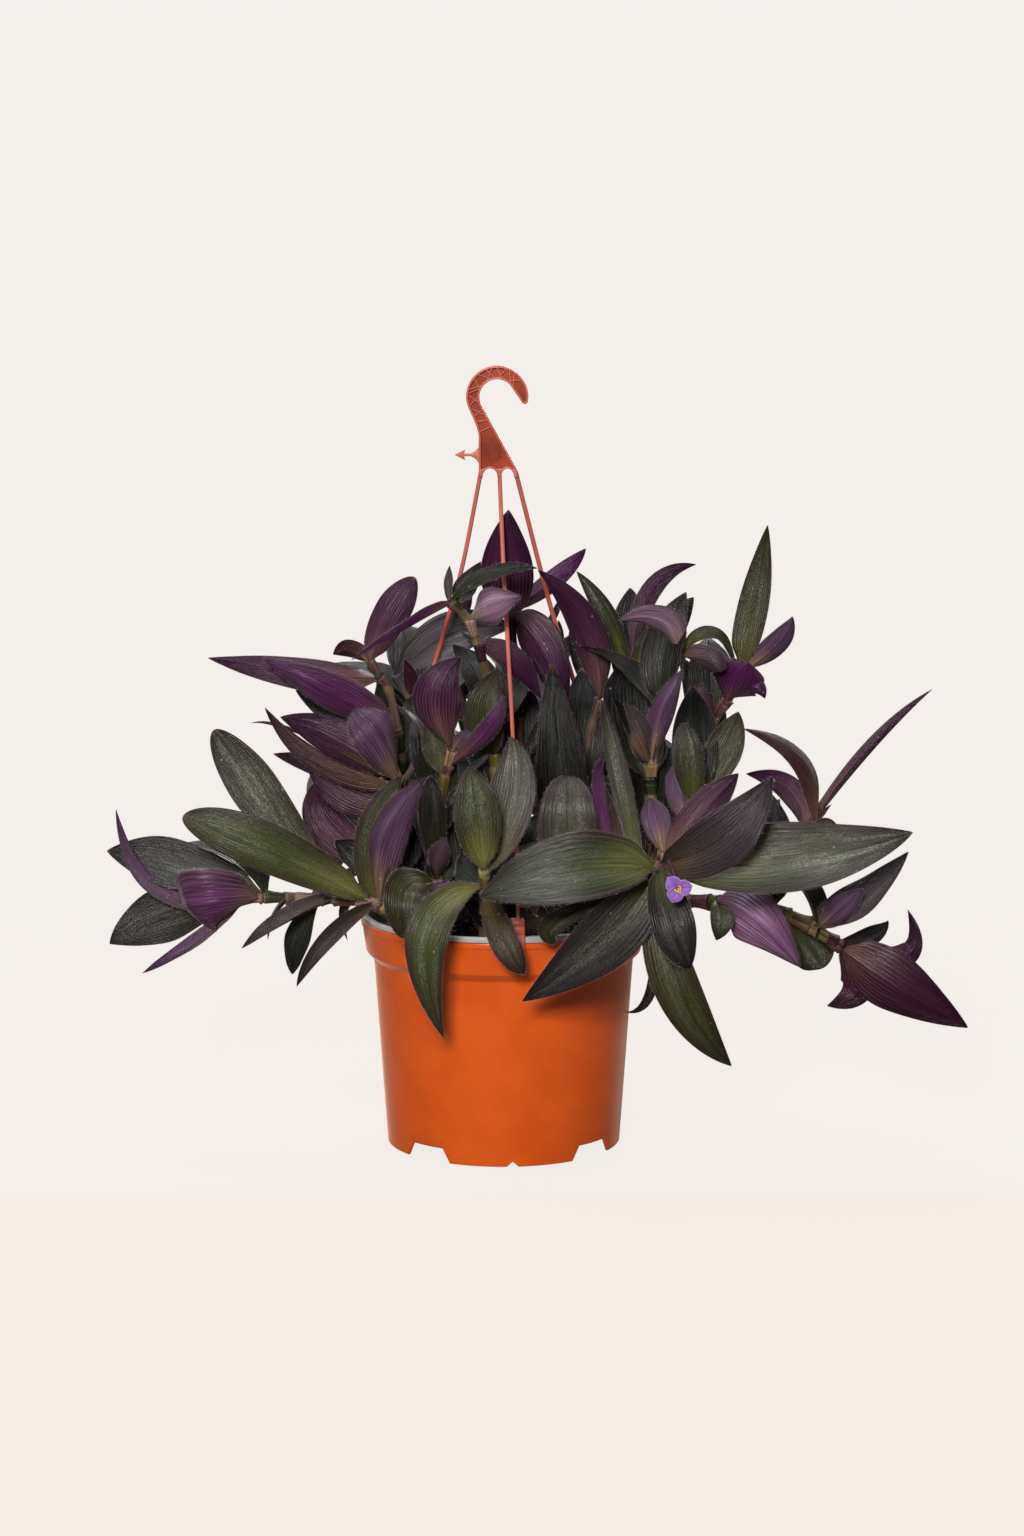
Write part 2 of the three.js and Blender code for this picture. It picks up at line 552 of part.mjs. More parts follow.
// An extruded block: its outline in x and z, and its depth along y, centred on y = 0.
function slab(outline, depth) {
  const shape = outline instanceof THREE.Shape
    ? outline
    : new THREE.Shape(outline.map(([x, z]) => new THREE.Vector2(x, z)));
  const geometry = new THREE.ExtrudeGeometry(shape, { depth, bevelEnabled: false, curveSegments: 6 });
  return solidOf(geometry.translate(0, 0, -depth / 2).rotateX(Math.PI / 2));
}

const turnedAboutAxis = (solid, degrees) => {
  const geometry = geometryOf(solid).rotateZ(THREE.MathUtils.degToRad(degrees));
  return solidOf(geometry);
};

const moved = (solid, x, y, z) => solidOf(geometryOf(solid).translate(x, y, z));

function potSolid() {
  const outer = [[POT.footRadius, 0], ...POT_WALL];
  const inner = POT_WALL.slice(1).map(([r, z]) => [r - POT.wall, z]).reverse();
  const skirt = [
    [POT.bodyBottomRadius - POT.wall, POT.floorBottom],
    [POT.footRadius - POT.wall, 0],
  ];
  const shell = lathe([
    ...outer,
    ...inner,
    [wallRadius(POT.floorTop, POT.wall), POT.floorTop],
    [0, POT.floorTop],
    [0, POT.floorBottom],
    ...skirt,
  ]);
  let pot = shell.add(cylinder(PAD_RADIUS, 0, POT.floorBottom + 1, 20));
  const archTop = POT.footRadius * Math.sin(THREE.MathUtils.degToRad(FEET.archHalfAngle));
  const archFoot = archTop + FEET.archSlant;
  const { archHeight } = FEET;
  const arch = slab([[-archFoot, -1], [archFoot, -1], [archTop, archHeight], [-archTop, archHeight]], 30);
  for (let i = 0; i < FEET.count; i++) {
    const angle = FEET.turn + (360 / FEET.count) * (i + 0.5);
    pot = pot.subtract(turnedAboutAxis(moved(arch, 0, -POT.footRadius, 0), angle));
  }
  const notch = slab([[-NOTCH.width / 2, -1], [NOTCH.width / 2, -1], [0, NOTCH.height]], 12);
  return pot.subtract(turnedAboutAxis(moved(notch, 0, -POT.footRadius, 0), FEET.turn));
}

function linerSolid() {
  const outerInset = POT.wall + LINER.gap;
  const innerInset = outerInset + LINER.wall;
  const floor = POT.floorTop + SEAT_GAP;
  const heights = [POT.bodyTop, POT.bandBottom, POT.rimTop - POT.rimStep];
  const lipBottom = POT.rimTop + SEAT_GAP;
  const neck = POT.rimRadius - POT.wall - LINER.gap;
  let liner = lathe([
    [0, floor],
    [wallRadius(floor, outerInset), floor],
    ...heights.map((z) => [wallRadius(z, outerInset), z]),
    [neck, lipBottom],
    [LINER.lipRadius, lipBottom],
    [LINER.lipRadius, LINER.lipTop],
    [neck - LINER.wall, LINER.lipTop],
    ...heights.map((z) => [wallRadius(z, innerInset), z]).reverse(),
    [wallRadius(floor + LINER.floor, innerInset), floor + LINER.floor],
    [0, floor + LINER.floor],
  ]);
  const drill = moved(cylinder(DRAIN.radius, floor - 5, floor + 5, DRAIN.sides), DRAIN.ring, 0, 0);
  for (let i = 0; i < DRAIN.count; i++) {
    liner = liner.subtract(turnedAboutAxis(drill, (360 / DRAIN.count) * (i + 0.5)));
  }
  return liner;
}

// The soil's top: rings of points lifted by a mound and by waves that differ in x and y.
function soilSolid(shoots) {
  const inset = POT.wall + LINER.gap + LINER.wall + SEAT_GAP;
  const bottom = POT.floorTop + SEAT_GAP + LINER.floor + SEAT_GAP;
  const edge = wallRadius(SOIL.top, inset);
  const ring = (radius, height) => {
    const points = [];
    for (let i = 0; i < SOIL.sides; i++) {
      const angle = (i / SOIL.sides) * 2 * Math.PI;
      const [x, y] = [radius * Math.cos(angle), radius * Math.sin(angle)];
      points.push(new THREE.Vector3(x, y, height(x, y)));
    }
    return points;
  };
  const lumpy = (x, y) => SOIL.lump * (Math.sin(0.31 * x + 0.11 * y) + Math.cos(0.27 * y - 0.15 * x));
  const top = (x, y) => SOIL.top + SOIL.mound * (1 - (x * x + y * y) / (edge * edge)) + lumpy(x, y);
  const level = (z) => ring(wallRadius(z, inset + 0.3), () => z);
  const rings = [level(bottom), level(POT.bodyTop), level(POT.bandBottom)];
  for (let i = SOIL.rings; i >= 0; i--) {
    const radius = (edge - 0.6) * Math.max(i / SOIL.rings, 0.03);
    rings.push(ring(radius, i === SOIL.rings ? () => SOIL.top - 2 : top));
  }
  const soil = solidOf(tubeGeometry(rings));
  return shoots.reduce((sum, shoot) => sum.subtract(stemSolid(shoot, SOIL.holeGap)), soil);
}

// ---- hanger -------------------------------------------------------------------------------

// The hook and plate, seen from the front: round over the top, down the left side to the plate,
// along its foot, up its slanted right edge and back round the inside to the pointed tip.
function hookOutline() {
  const { x, z, outer, inner } = HOOK;
  const shape = new THREE.Shape();
  shape.moveTo(12.4, 440.5);
  shape.lineTo(x + outer, z);
  shape.absarc(x, z, outer, 0, Math.PI, false);
  shape.bezierCurveTo(x - outer, 438, -15.6, 431, PLATE.left, 422);
  shape.lineTo(PLATE.left, PLATE.foot);
  shape.lineTo(PLATE.right, PLATE.foot);
  shape.lineTo(-13.2, 439);
  shape.absarc(x, z, inner, 1.17 * Math.PI, 0.25 * Math.PI, true);
  shape.lineTo(12.4, 440.5);
  return shape;
}

// A flat bar between two points of the front view.
function bar([x0, z0], [x1, z1], width, depth) {
  const length = Math.hypot(x1 - x0, z1 - z0);
  const [nx, nz] = [((z0 - z1) / length) * (width / 2), ((x1 - x0) / length) * (width / 2)];
  return slab([[x0 + nx, z0 + nz], [x0 - nx, z0 - nz], [x1 - nx, z1 - nz], [x1 + nx, z1 + nz]], depth);
}

// The recess in both faces of the hook's band, with its zigzag ribs left standing.
function hookRecess() {
  const [low, high] = [HOOK.inner + HOOK.border, HOOK.outer - HOOK.border];
  const [start, end] = [0.12 * Math.PI, Math.PI];
  const shape = new THREE.Shape();
  shape.absarc(HOOK.x, HOOK.z, high, start, end, false);
  shape.absarc(HOOK.x, HOOK.z, low, end, start, true);
  const at = (i, radius) => {
    const angle = start + ((end - start) * i) / HOOK.ribs;
    return [HOOK.x + radius * Math.cos(angle), HOOK.z + radius * Math.sin(angle)];
  };
  let recess = slab(shape, HOOK.thick);
  for (let i = 0; i < HOOK.ribs; i++) {
    const [from, to] = i % 2 === 0 ? [low, high] : [high, low];
    recess = recess.subtract(bar(at(i, from), at(i + 1, to), HOOK.rib, HOOK.thick));
  }
  return recess;
}

function plateRecess() {
  const edge = HOOK.border;
  const foot = PLATE.foot + 5;
  const left = PLATE.left + edge;
  const plate = slab([[left, foot], [PLATE.right - 5, foot], [left, 432]], HOOK.thick);
  const disc = new THREE.CylinderGeometry(PLATE.discRadius, PLATE.discRadius, HOOK.thick, 20);
  return plate.subtract(moved(solidOf(disc), PLATE.discX, 0, PLATE.discZ));
}

// A leg: a square bar bent slack from the plate's foot to the top of its clip.
function legSolid({ angle, path }) {
  const turn = THREE.MathUtils.degToRad(angle);
  const reach = (CLIP.face + CLIP.inner) / 2;
  const end = [reach * Math.sin(turn), -reach * Math.cos(turn), CLIP.top - 2];
  const points = vectors([...path, end]);
  const curve = new THREE.CatmullRomCurve3(points, false, "catmullrom", 0.5);
  const count = path.length * 2;
  const side = new THREE.Vector3(Math.cos(turn), Math.sin(turn), 0);
  const rings = [];
  for (let i = 0; i <= count; i++) {
    const tangent = curve.getTangent(i / count);
    const across = side.clone().addScaledVector(tangent, -side.dot(tangent)).normalize();
    const out = new THREE.Vector3().crossVectors(tangent, across);
    const place = curve.getPoint(i / count);
    const half = LEG_WIDTH / 2;
    const corner = (a, b) => place.clone().addScaledVector(across, a).addScaledVector(out, b);
    rings.push([corner(half, half), corner(-half, half), corner(-half, -half), corner(half, -half)]);
  }
  return solidOf(tubeGeometry(rings));
}

// A clip: over the lip, down outside the rim band, with a tongue inside and a groove across.
function clipSolid({ angle }) {
  const { face, inner, tongue, top, foot, tongueFoot, width } = CLIP;
  const bridge = LINER.lipTop + 0.4;
  const groove = top - 8.5;
  const profile = [
    [inner, foot + 1.5], [inner + 0.8, foot], [face - 0.6, foot], [face, foot + 1],
    [face, groove - 1], [face - 0.8, groove], [face, groove + 1], [face, top - 1], [face - 1, top],
    [tongue - 1.8, top], [tongue - 1.8, tongueFoot], [tongue, tongueFoot], [tongue, bridge],
    [inner, bridge],
  ];
  return turnedAboutAxis(slab(profile, width), angle - 90);
}

function hangerSolid() {
  const body = slab(hookOutline(), HOOK.thick);
  const faces = [-1, 1].map((s) => s * (HOOK.thick - HOOK.recess));
  const recess = hookRecess().add(plateRecess());
  const carved = faces.reduce((sum, y) => sum.subtract(moved(recess, 0, y, 0)), body);
  const arches = [[-13.2 + 1.4, -2.3 - 1.4], [-2.3 + 1.4, 8.2 - 1.4]].map(([a, b]) => {
    const shape = new THREE.Shape();
    shape.moveTo(a, PLATE.foot - 1);
    shape.lineTo(b, PLATE.foot - 1);
    shape.absellipse((a + b) / 2, PLATE.foot, (b - a) / 2, 2.4, 0, Math.PI, false, 0);
    return slab(shape, HOOK.thick + 2);
  });
  const plate = arches.reduce((sum, next) => sum.subtract(next), carved);
  const arrow = slab(
    [
      [-28.5, 410.8], [-22.5, 407.9], [-23.4, 410.2], [-19, 410], [-13.5, 407], [-13.5, 414.6],
      [-19, 411.6], [-23.4, 411.4], [-22.5, 413.7],
    ],
    2.4,
  );
  return joined([plate, arrow, ...LEGS.map(legSolid), ...LEGS.map(clipSolid)]);
}

// ---- flower -------------------------------------------------------------------------------

// A petal: a thin blade in the x-z plane, bent like a shallow spoon, standing up from z = 0.
function petalSolid() {
  const steps = 4;
  const points = [];
  for (let i = 0; i < steps; i++) {
    const t = i / steps;
    const half = (FLOWER.width / 2) * Math.sin(Math.PI * (0.1 + 0.75 * t));
    const forward = -1.6 * Math.sin(Math.PI * t * 0.6);
    const point = (x, y) => new THREE.Vector3(x, forward + y, 0.5 + FLOWER.petal * t);
    const rib = FLOWER.thick / 2;
    points.push(point(-half, -0.5), point(0, rib), point(half, -0.5), point(0, -rib));
  }
  points.push(new THREE.Vector3(0, -1.2, 0.5 + FLOWER.petal));
  return solidOf(closedGeometry(points, leafTriangles(steps)));
}

// A stamen: a rod with a head, leaning out from the flower's axis, which points at the viewer.
function stamenSolid(turn) {
  const rod = new THREE.CylinderGeometry(STAMEN.rod, STAMEN.rod, STAMEN.length, 3);
  const head = new THREE.OctahedronGeometry(STAMEN.head, 0).translate(0, STAMEN.length, 0);
  const stamen = solidOf(rod.translate(0, STAMEN.length / 2, 0)).add(solidOf(head));
  return solidOf(geometryOf(stamen).rotateZ(STAMEN.tilt).rotateY(turn).rotateX(Math.PI));
}

function flowerGeometry() {
  const heart = solidOf(new THREE.IcosahedronGeometry(FLOWER.heart, 0));
  const petals = [80, 200, 320].map((degrees) =>
    solidOf(geometryOf(petalSolid()).rotateY(THREE.MathUtils.degToRad(degrees))));
  const stamens = [];
  for (let i = 0; i < STAMEN.count; i++) {
    stamens.push(stamenSolid((i / STAMEN.count) * 2 * Math.PI));
  }
  return geometryOf(joined([heart, ...petals, ...stamens]));
}

// ---- the object ---------------------------------------------------------------------------

const FINISHES = {
  pot: { color: 0xc8501f, roughness: 0.45, metalness: 0 },
  liner: { color: 0xb4afae, roughness: 0.5, metalness: 0 },
  hanger: { color: 0xc26a4e, roughness: 0.45, metalness: 0 },
  soil: { color: 0x33261d, roughness: 1, metalness: 0 },
  leaf: { color: 0x4a4651, roughness: 0.5, metalness: 0 },
  flower: { color: 0xb184d6, roughness: 0.6, metalness: 0 },
};

const plant = new THREE.Group();

function place(name, geometry, finish) {
  const mesh = new THREE.Mesh(geometry, new THREE.MeshStandardMaterial(FINISHES[finish]));
  mesh.name = name;
  plant.add(mesh);
  return mesh;
}

const seenShoots = Object.entries(SHOOTS).map(([name, { stem, radii, leaves }]) => {
  const inner = (INNER_LEAVES[name] ?? []).map((each) => innerLeaf(stem, each));
  const stalks = name === "front_right" ? [STALK] : [];
  return [name, { stem, radii, leaves: [...leaves, ...inner], stalks }];
});
const backShoots = Object.entries(BACK_SHOOTS).map(([name, back]) => [name, turnedShoot(back)]);
const allShoots = [...seenShoots, ...backShoots];

place("hanging_pot", geometryOf(potSolid()), "pot");
place("grow_pot", geometryOf(linerSolid()), "liner");
place("soil", geometryOf(soilSolid(allShoots.map(([, shoot]) => shoot))), "soil");
place("hanger", geometryOf(hangerSolid()), "hanger");
for (const [name, shoot] of allShoots) {
  place("stem_" + name, geometryOf(leafyStem(shoot)), "leaf");
}
place("flower", flowerGeometry(), "flower").position.set(...FLOWER.at);

export default plant;
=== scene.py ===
"""Looks of a purple-heart tradescantia in a plastic hanging pot, in metres, +Z up.

The plant, the pot, its inner grow pot, the soil and the hanger each get a fine mesh in the place
of their solids. Lengths are in millimetres and are turned into metres when a mesh is made, except
for hairs, crumbs, the floor, the lamps and the materials, which are in metres. The viewer stands
at -Y.
"""
import json
import math
import random
from collections import namedtuple

import bmesh
import bpy
import numpy as np
from mathutils import Matrix, Vector
from mathutils.geometry import interpolate_bezier

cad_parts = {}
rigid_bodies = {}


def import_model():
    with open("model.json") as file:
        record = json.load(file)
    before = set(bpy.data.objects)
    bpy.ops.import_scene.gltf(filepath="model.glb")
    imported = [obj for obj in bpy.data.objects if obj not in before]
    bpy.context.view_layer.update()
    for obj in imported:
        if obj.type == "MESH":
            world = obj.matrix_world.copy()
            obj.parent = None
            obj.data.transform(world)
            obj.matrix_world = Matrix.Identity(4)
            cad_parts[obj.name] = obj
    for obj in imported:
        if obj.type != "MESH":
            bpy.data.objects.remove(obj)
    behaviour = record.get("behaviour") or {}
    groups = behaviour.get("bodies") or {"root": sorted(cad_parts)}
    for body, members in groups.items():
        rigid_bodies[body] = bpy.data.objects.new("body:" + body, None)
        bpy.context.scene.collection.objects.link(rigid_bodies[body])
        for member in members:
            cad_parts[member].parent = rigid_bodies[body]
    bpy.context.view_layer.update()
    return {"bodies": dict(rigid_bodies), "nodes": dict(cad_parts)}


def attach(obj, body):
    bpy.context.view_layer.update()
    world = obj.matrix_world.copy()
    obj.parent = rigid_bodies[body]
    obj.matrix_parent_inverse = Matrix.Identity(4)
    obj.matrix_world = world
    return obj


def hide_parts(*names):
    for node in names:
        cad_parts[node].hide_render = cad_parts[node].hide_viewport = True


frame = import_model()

MM = 0.001

# ---- sizes of the pot, the grow pot, the soil and the hanger --------------------------------

RIM_RADIUS = 84.9
RIM_TOP = 135.9
WALL = 1.8
FOOT_RADIUS = 69.6
FLOOR_BOTTOM = 13.8
FLOOR_TOP = 16
# The pot's outer wall as radius and height, from its floor to its rim.
POT_WALL = [(70.6, FLOOR_BOTTOM), (77.4, 112), (81.9, 116.6), (84.3, 132.3), (84.9, 132.7), (84.9, RIM_TOP)]
# Radii that round the corners of a wall's profile, by the corner's number.
POT_CORNERS = {2: 0.8, 3: 0.8, 4: 0.4, 5: 0.3, 6: 0.7, 7: 0.7}
LINER_CORNERS = {1: 0.6, 2: 0.6, 5: 0.5, 6: 0.9, 7: 0.9, 8: 0.6}
FEET_TURN = 4.5
FOOT_EASE = 0.4
SKIRT_ROWS = 4
ARCH = {"half_angle": 9.5, "height": 8.5, "slant": 5}
NOTCH = {"width": 7, "height": 3}
PAD_RADIUS = 12
GAP = 0.5
SEAT_GAP = 0.3
LINER_WALL = 1.3
LINER_FLOOR = 1.8
LIP_RADIUS = 85
LIP_TOP = 139.5
UNEVEN_FROM = 138
SOIL = {"top": 126, "mound": 3, "lump": 1.3}

# The hook's arcs start and end at angles given in half turns from +X.
HOOK = {"x": -3.6, "z": 444.6, "outer": 18.2, "inner": 10.4, "thick": 6, "border": 1.35, "web": 1.6,
        "tip": (12.5, 442.5), "tip_radius": 1.9, "tip_from": 1.144, "throat": (1.17, 0.25)}
# Ribs across the hook's channel: from and to, in half turns, and which edge each starts from.
RIBS = [(0.2, 0.3, 1), (0.2, 0.3, -1), (0.27, 0.36, 1), (0.4, 0.47, -1), (0.42, 0.5, 1), (0.55, 0.62, 1),
        (0.56, 0.66, -1), (0.62, 0.72, 1), (0.78, 0.86, -1), (0.8, 0.92, 1), (0.86, 0.96, 1),
        (0.98, 1.08, -1), (1.0, 1.1, 1)]
NECK_RIBS = [(-18.2, 437.6, -11.4, 434.4), (-17.0, 433, -12.6, 437.4), (-15.6, 430.2, -8.6, 431.4),
             (-13.6, 424.6, -6.6, 427.8)]
RIB = {"width": 0.9, "below_border": 1.2, "corner": 0.2}
# The neck's left side bends through these points from the hook to the plate.
NECK_BEND = [(-21.8, 438), (-15.6, 431), (-14.4, 422)]
PLATE = {"left": -14.4, "foot": 401, "root_drop": 3.2, "arch_drop": 2.8, "arch_rise": 4.8,
         "shoulder": [(7.9, 402.6), (7.3, 403.6)]}
DISC = {"x": -5.8, "z": 411.1, "radius": 3.4, "rim": 1.2}
# The small arrow at the plate's left side.
ARROW = [(-28.5, 410.8), (-22.5, 407.7), (-22.9, 410.0), (-19, 410.0), (-16.5, 408.6), (-14.6, 406.5),
         (-13.4, 403.5), (-13.4, 418), (-14.6, 415), (-16.5, 413), (-19, 411.6), (-22.9, 411.6),
         (-22.5, 413.9)]
ARROW_THICK = 2.4
LEG_WIDTH = 2.3
LEG_CORNER = 0.4
CLIP = {"width": 7.5, "face": 87.7, "inner": 85.4, "tongue": 80, "top": 150, "foot": 120.5,
        "tongue_foot": 132, "tongue_thick": 1.8, "groove": 8.5, "step": 3.2}
# Each leg: the angle of its clip round the pot from the front, and the points it runs through.
LEGS = [
    (5.7, [(-2.3, -1, 404), (0, -18, 348), (3, -36, 296), (6, -55, 240), (8, -73, 185)]),
    (-111, [(-13.2, 0, 404), (-24, 3, 346), (-35, 8, 306), (-46, 14, 268), (-62, 22, 203)]),
    (129, [(7.3, 1, 404), (21, 8, 346), (31, 15, 309), (44, 25, 266), (57, 40, 202)]),
]

FLOWER_AT = (97, -150, 181)
PETAL = {"long": 8, "wide": 9.5, "thick": 0.45, "from_heart": 0.5, "ripple": 0.09}
PETAL_TURNS = (80, 200, 320)
STAMEN_SKIN = (172, 120, 206)
# How far each stamen leans outwards, and the radii of a stamen and of the anther across its end.
STAMEN_LEANS = (0.5, 0.25, 0.6, 0.3, 0.5, 0.12)
STAMEN_RADII = {0: 0.24, 1.2: 0.2, 2.4: 0.18, 3.4: 0.16}
ANTHER_RADII = {-0.95: 0.12, -0.75: 0.42, -0.4: 0.55, 0: 0.4, 0.4: 0.55, 0.75: 0.42, 0.95: 0.12}
ANTHER_AT = 3.5
FLOWERING_STEM = "front_right"
STALK_SKIN = (128, 104, 112)
STALK_STEM = [(91, -120, 196), (96, -136, 187), (97, -147.8, 181)]
STALK_RADII = [1.3, 0.9, 0.8]

# ---- leaf colours ---------------------------------------------------------------------------
# Each tone gives the colours of a leaf's upper side, its underside, its base and its margin, as
# they look in even light, and how much silver lies on its upper side, partly its own mottling and
# partly painted sheen. SHADED, and DARK in part, are darker than in even light: painted shade for
# leaves deep in the plant.

Tone = namedtuple("Tone", "upper under base margin silver")
GREEN = Tone((72, 84, 36), (92, 42, 88), (168, 174, 92), (74, 40, 50), 0.6)
SILVER = Tone((72, 76, 52), (96, 56, 90), (124, 134, 56), (84, 56, 66), 0.95)
OLIVE = Tone((68, 72, 34), (90, 56, 74), (112, 112, 46), (78, 50, 50), 0.4)
SLATE = Tone((52, 52, 50), (84, 40, 80), (82, 92, 40), (66, 36, 58), 0.4)
# DARK is partly a dark leaf's own colour and partly painted shade for leaves in the plant's middle.
DARK = Tone((24, 28, 24), (50, 24, 48), (50, 64, 28), (44, 26, 38), 0.22)
PEWTER = Tone((98, 98, 84), (110, 80, 96), (120, 124, 70), (94, 70, 78), 1.0)
DUSK = Tone((94, 84, 96), (98, 84, 100), (96, 90, 88), (92, 76, 92), 0.3)
TRUMPET = Tone((70, 50, 68), (106, 60, 106), (134, 112, 94), (166, 148, 156), 0.2)
SAGE = Tone((60, 74, 48), (92, 42, 88), (136, 144, 78), (74, 40, 50), 0.5)
PLUM = Tone((64, 52, 60), (84, 40, 80), (108, 88, 70), (70, 38, 62), 0.4)
# SHADED is painted shade: the dark of leaves deep in the plant, laid on as their colour.
SHADED = Tone((23, 28, 22), (38, 22, 36), (38, 46, 24), (32, 20, 28), 0.12)
TEAL = Tone((42, 56, 46), (64, 42, 62), (66, 78, 44), (58, 42, 52), 0.25)
PURPLE = Tone((62, 48, 58), (78, 34, 70), (124, 92, 84), (86, 46, 80), 0.25)
VIVID = Tone((70, 46, 72), (98, 40, 100), (120, 88, 84), (134, 102, 122), 0.25)
DEEP = Tone((44, 38, 46), (74, 26, 68), (74, 42, 56), (62, 24, 56), 0.25)
MAUVE = Tone((82, 70, 86), (108, 84, 114), (172, 148, 104), (124, 86, 112), 0.3)
LILAC = Tone((136, 118, 130), (176, 152, 172), (176, 158, 136), (124, 90, 116), 0.3)
ROSE = Tone((108, 80, 106), (172, 140, 174), (150, 112, 116), (148, 100, 136), 0.3)
MAROON = Tone((62, 44, 50), (76, 32, 62), (102, 74, 58), (72, 34, 58), 0.2)
BROWN = Tone((78, 58, 44), (78, 48, 50), (112, 92, 54), (82, 50, 50), 0.4)
TAUPE = Tone((88, 76, 80), (96, 80, 88), (118, 100, 76), (96, 72, 80), 0.45)
TAN = Tone((140, 116, 92), (140, 114, 94), (154, 136, 80), (126, 98, 86), 0.2)
DRY = Tone((120, 98, 72), (116, 92, 70), (110, 96, 62), (128, 106, 84), 0.1)
PETAL_TONE = Tone((172, 128, 220), (160, 116, 206), (140, 84, 190), (216, 190, 234), 0.0)

# ---- leafy stems ----------------------------------------------------------------------------
# A stem is the points of its joints, from the soil to its tip, with a radius at each. A leaf says
# where on the stem it grows (joint number, with parts of a joint after the point), its middle and
# tip, its width, which way its upper side looks at its middle, its tone and its outline.

# A form gives where a blade is widest, how blunt its tip is, its width at its base against its
# greatest, how far its sides fold up, and how much of its length a pale lip takes at its tip.
Form = namedtuple("Form", "peak tip_round base fold lip", defaults=(0,))
PLAIN = Form(0.45, 0.85, 0.4, 0.25)
FULL = PLAIN._replace(peak=0.55)
BLUNT = PLAIN._replace(peak=0.6, tip_round=0.55)
FAN = PLAIN._replace(peak=0.8, tip_round=0.22, lip=0.09)
BROAD = PLAIN._replace(peak=0.62, tip_round=0.55, base=0.6)
TAPERED = PLAIN._replace(peak=0.25, base=0.6)
LOW = PLAIN._replace(peak=0.35)
CUPPED = PLAIN._replace(fold=0.5)
FOLDED = PLAIN._replace(fold=0.8)
PETAL_FORM = Form(0.42, 0.95, 0.3, 0.14, 0.09)

Leaf = namedtuple("Leaf", "at mid tip wide face tone form")
Shoot = namedtuple("Shoot", "stem radii leaves")


def leaf(at, mid, tip, wide, face, tone, form=PLAIN):
    return Leaf(at, mid, tip, wide, face, tone, form)


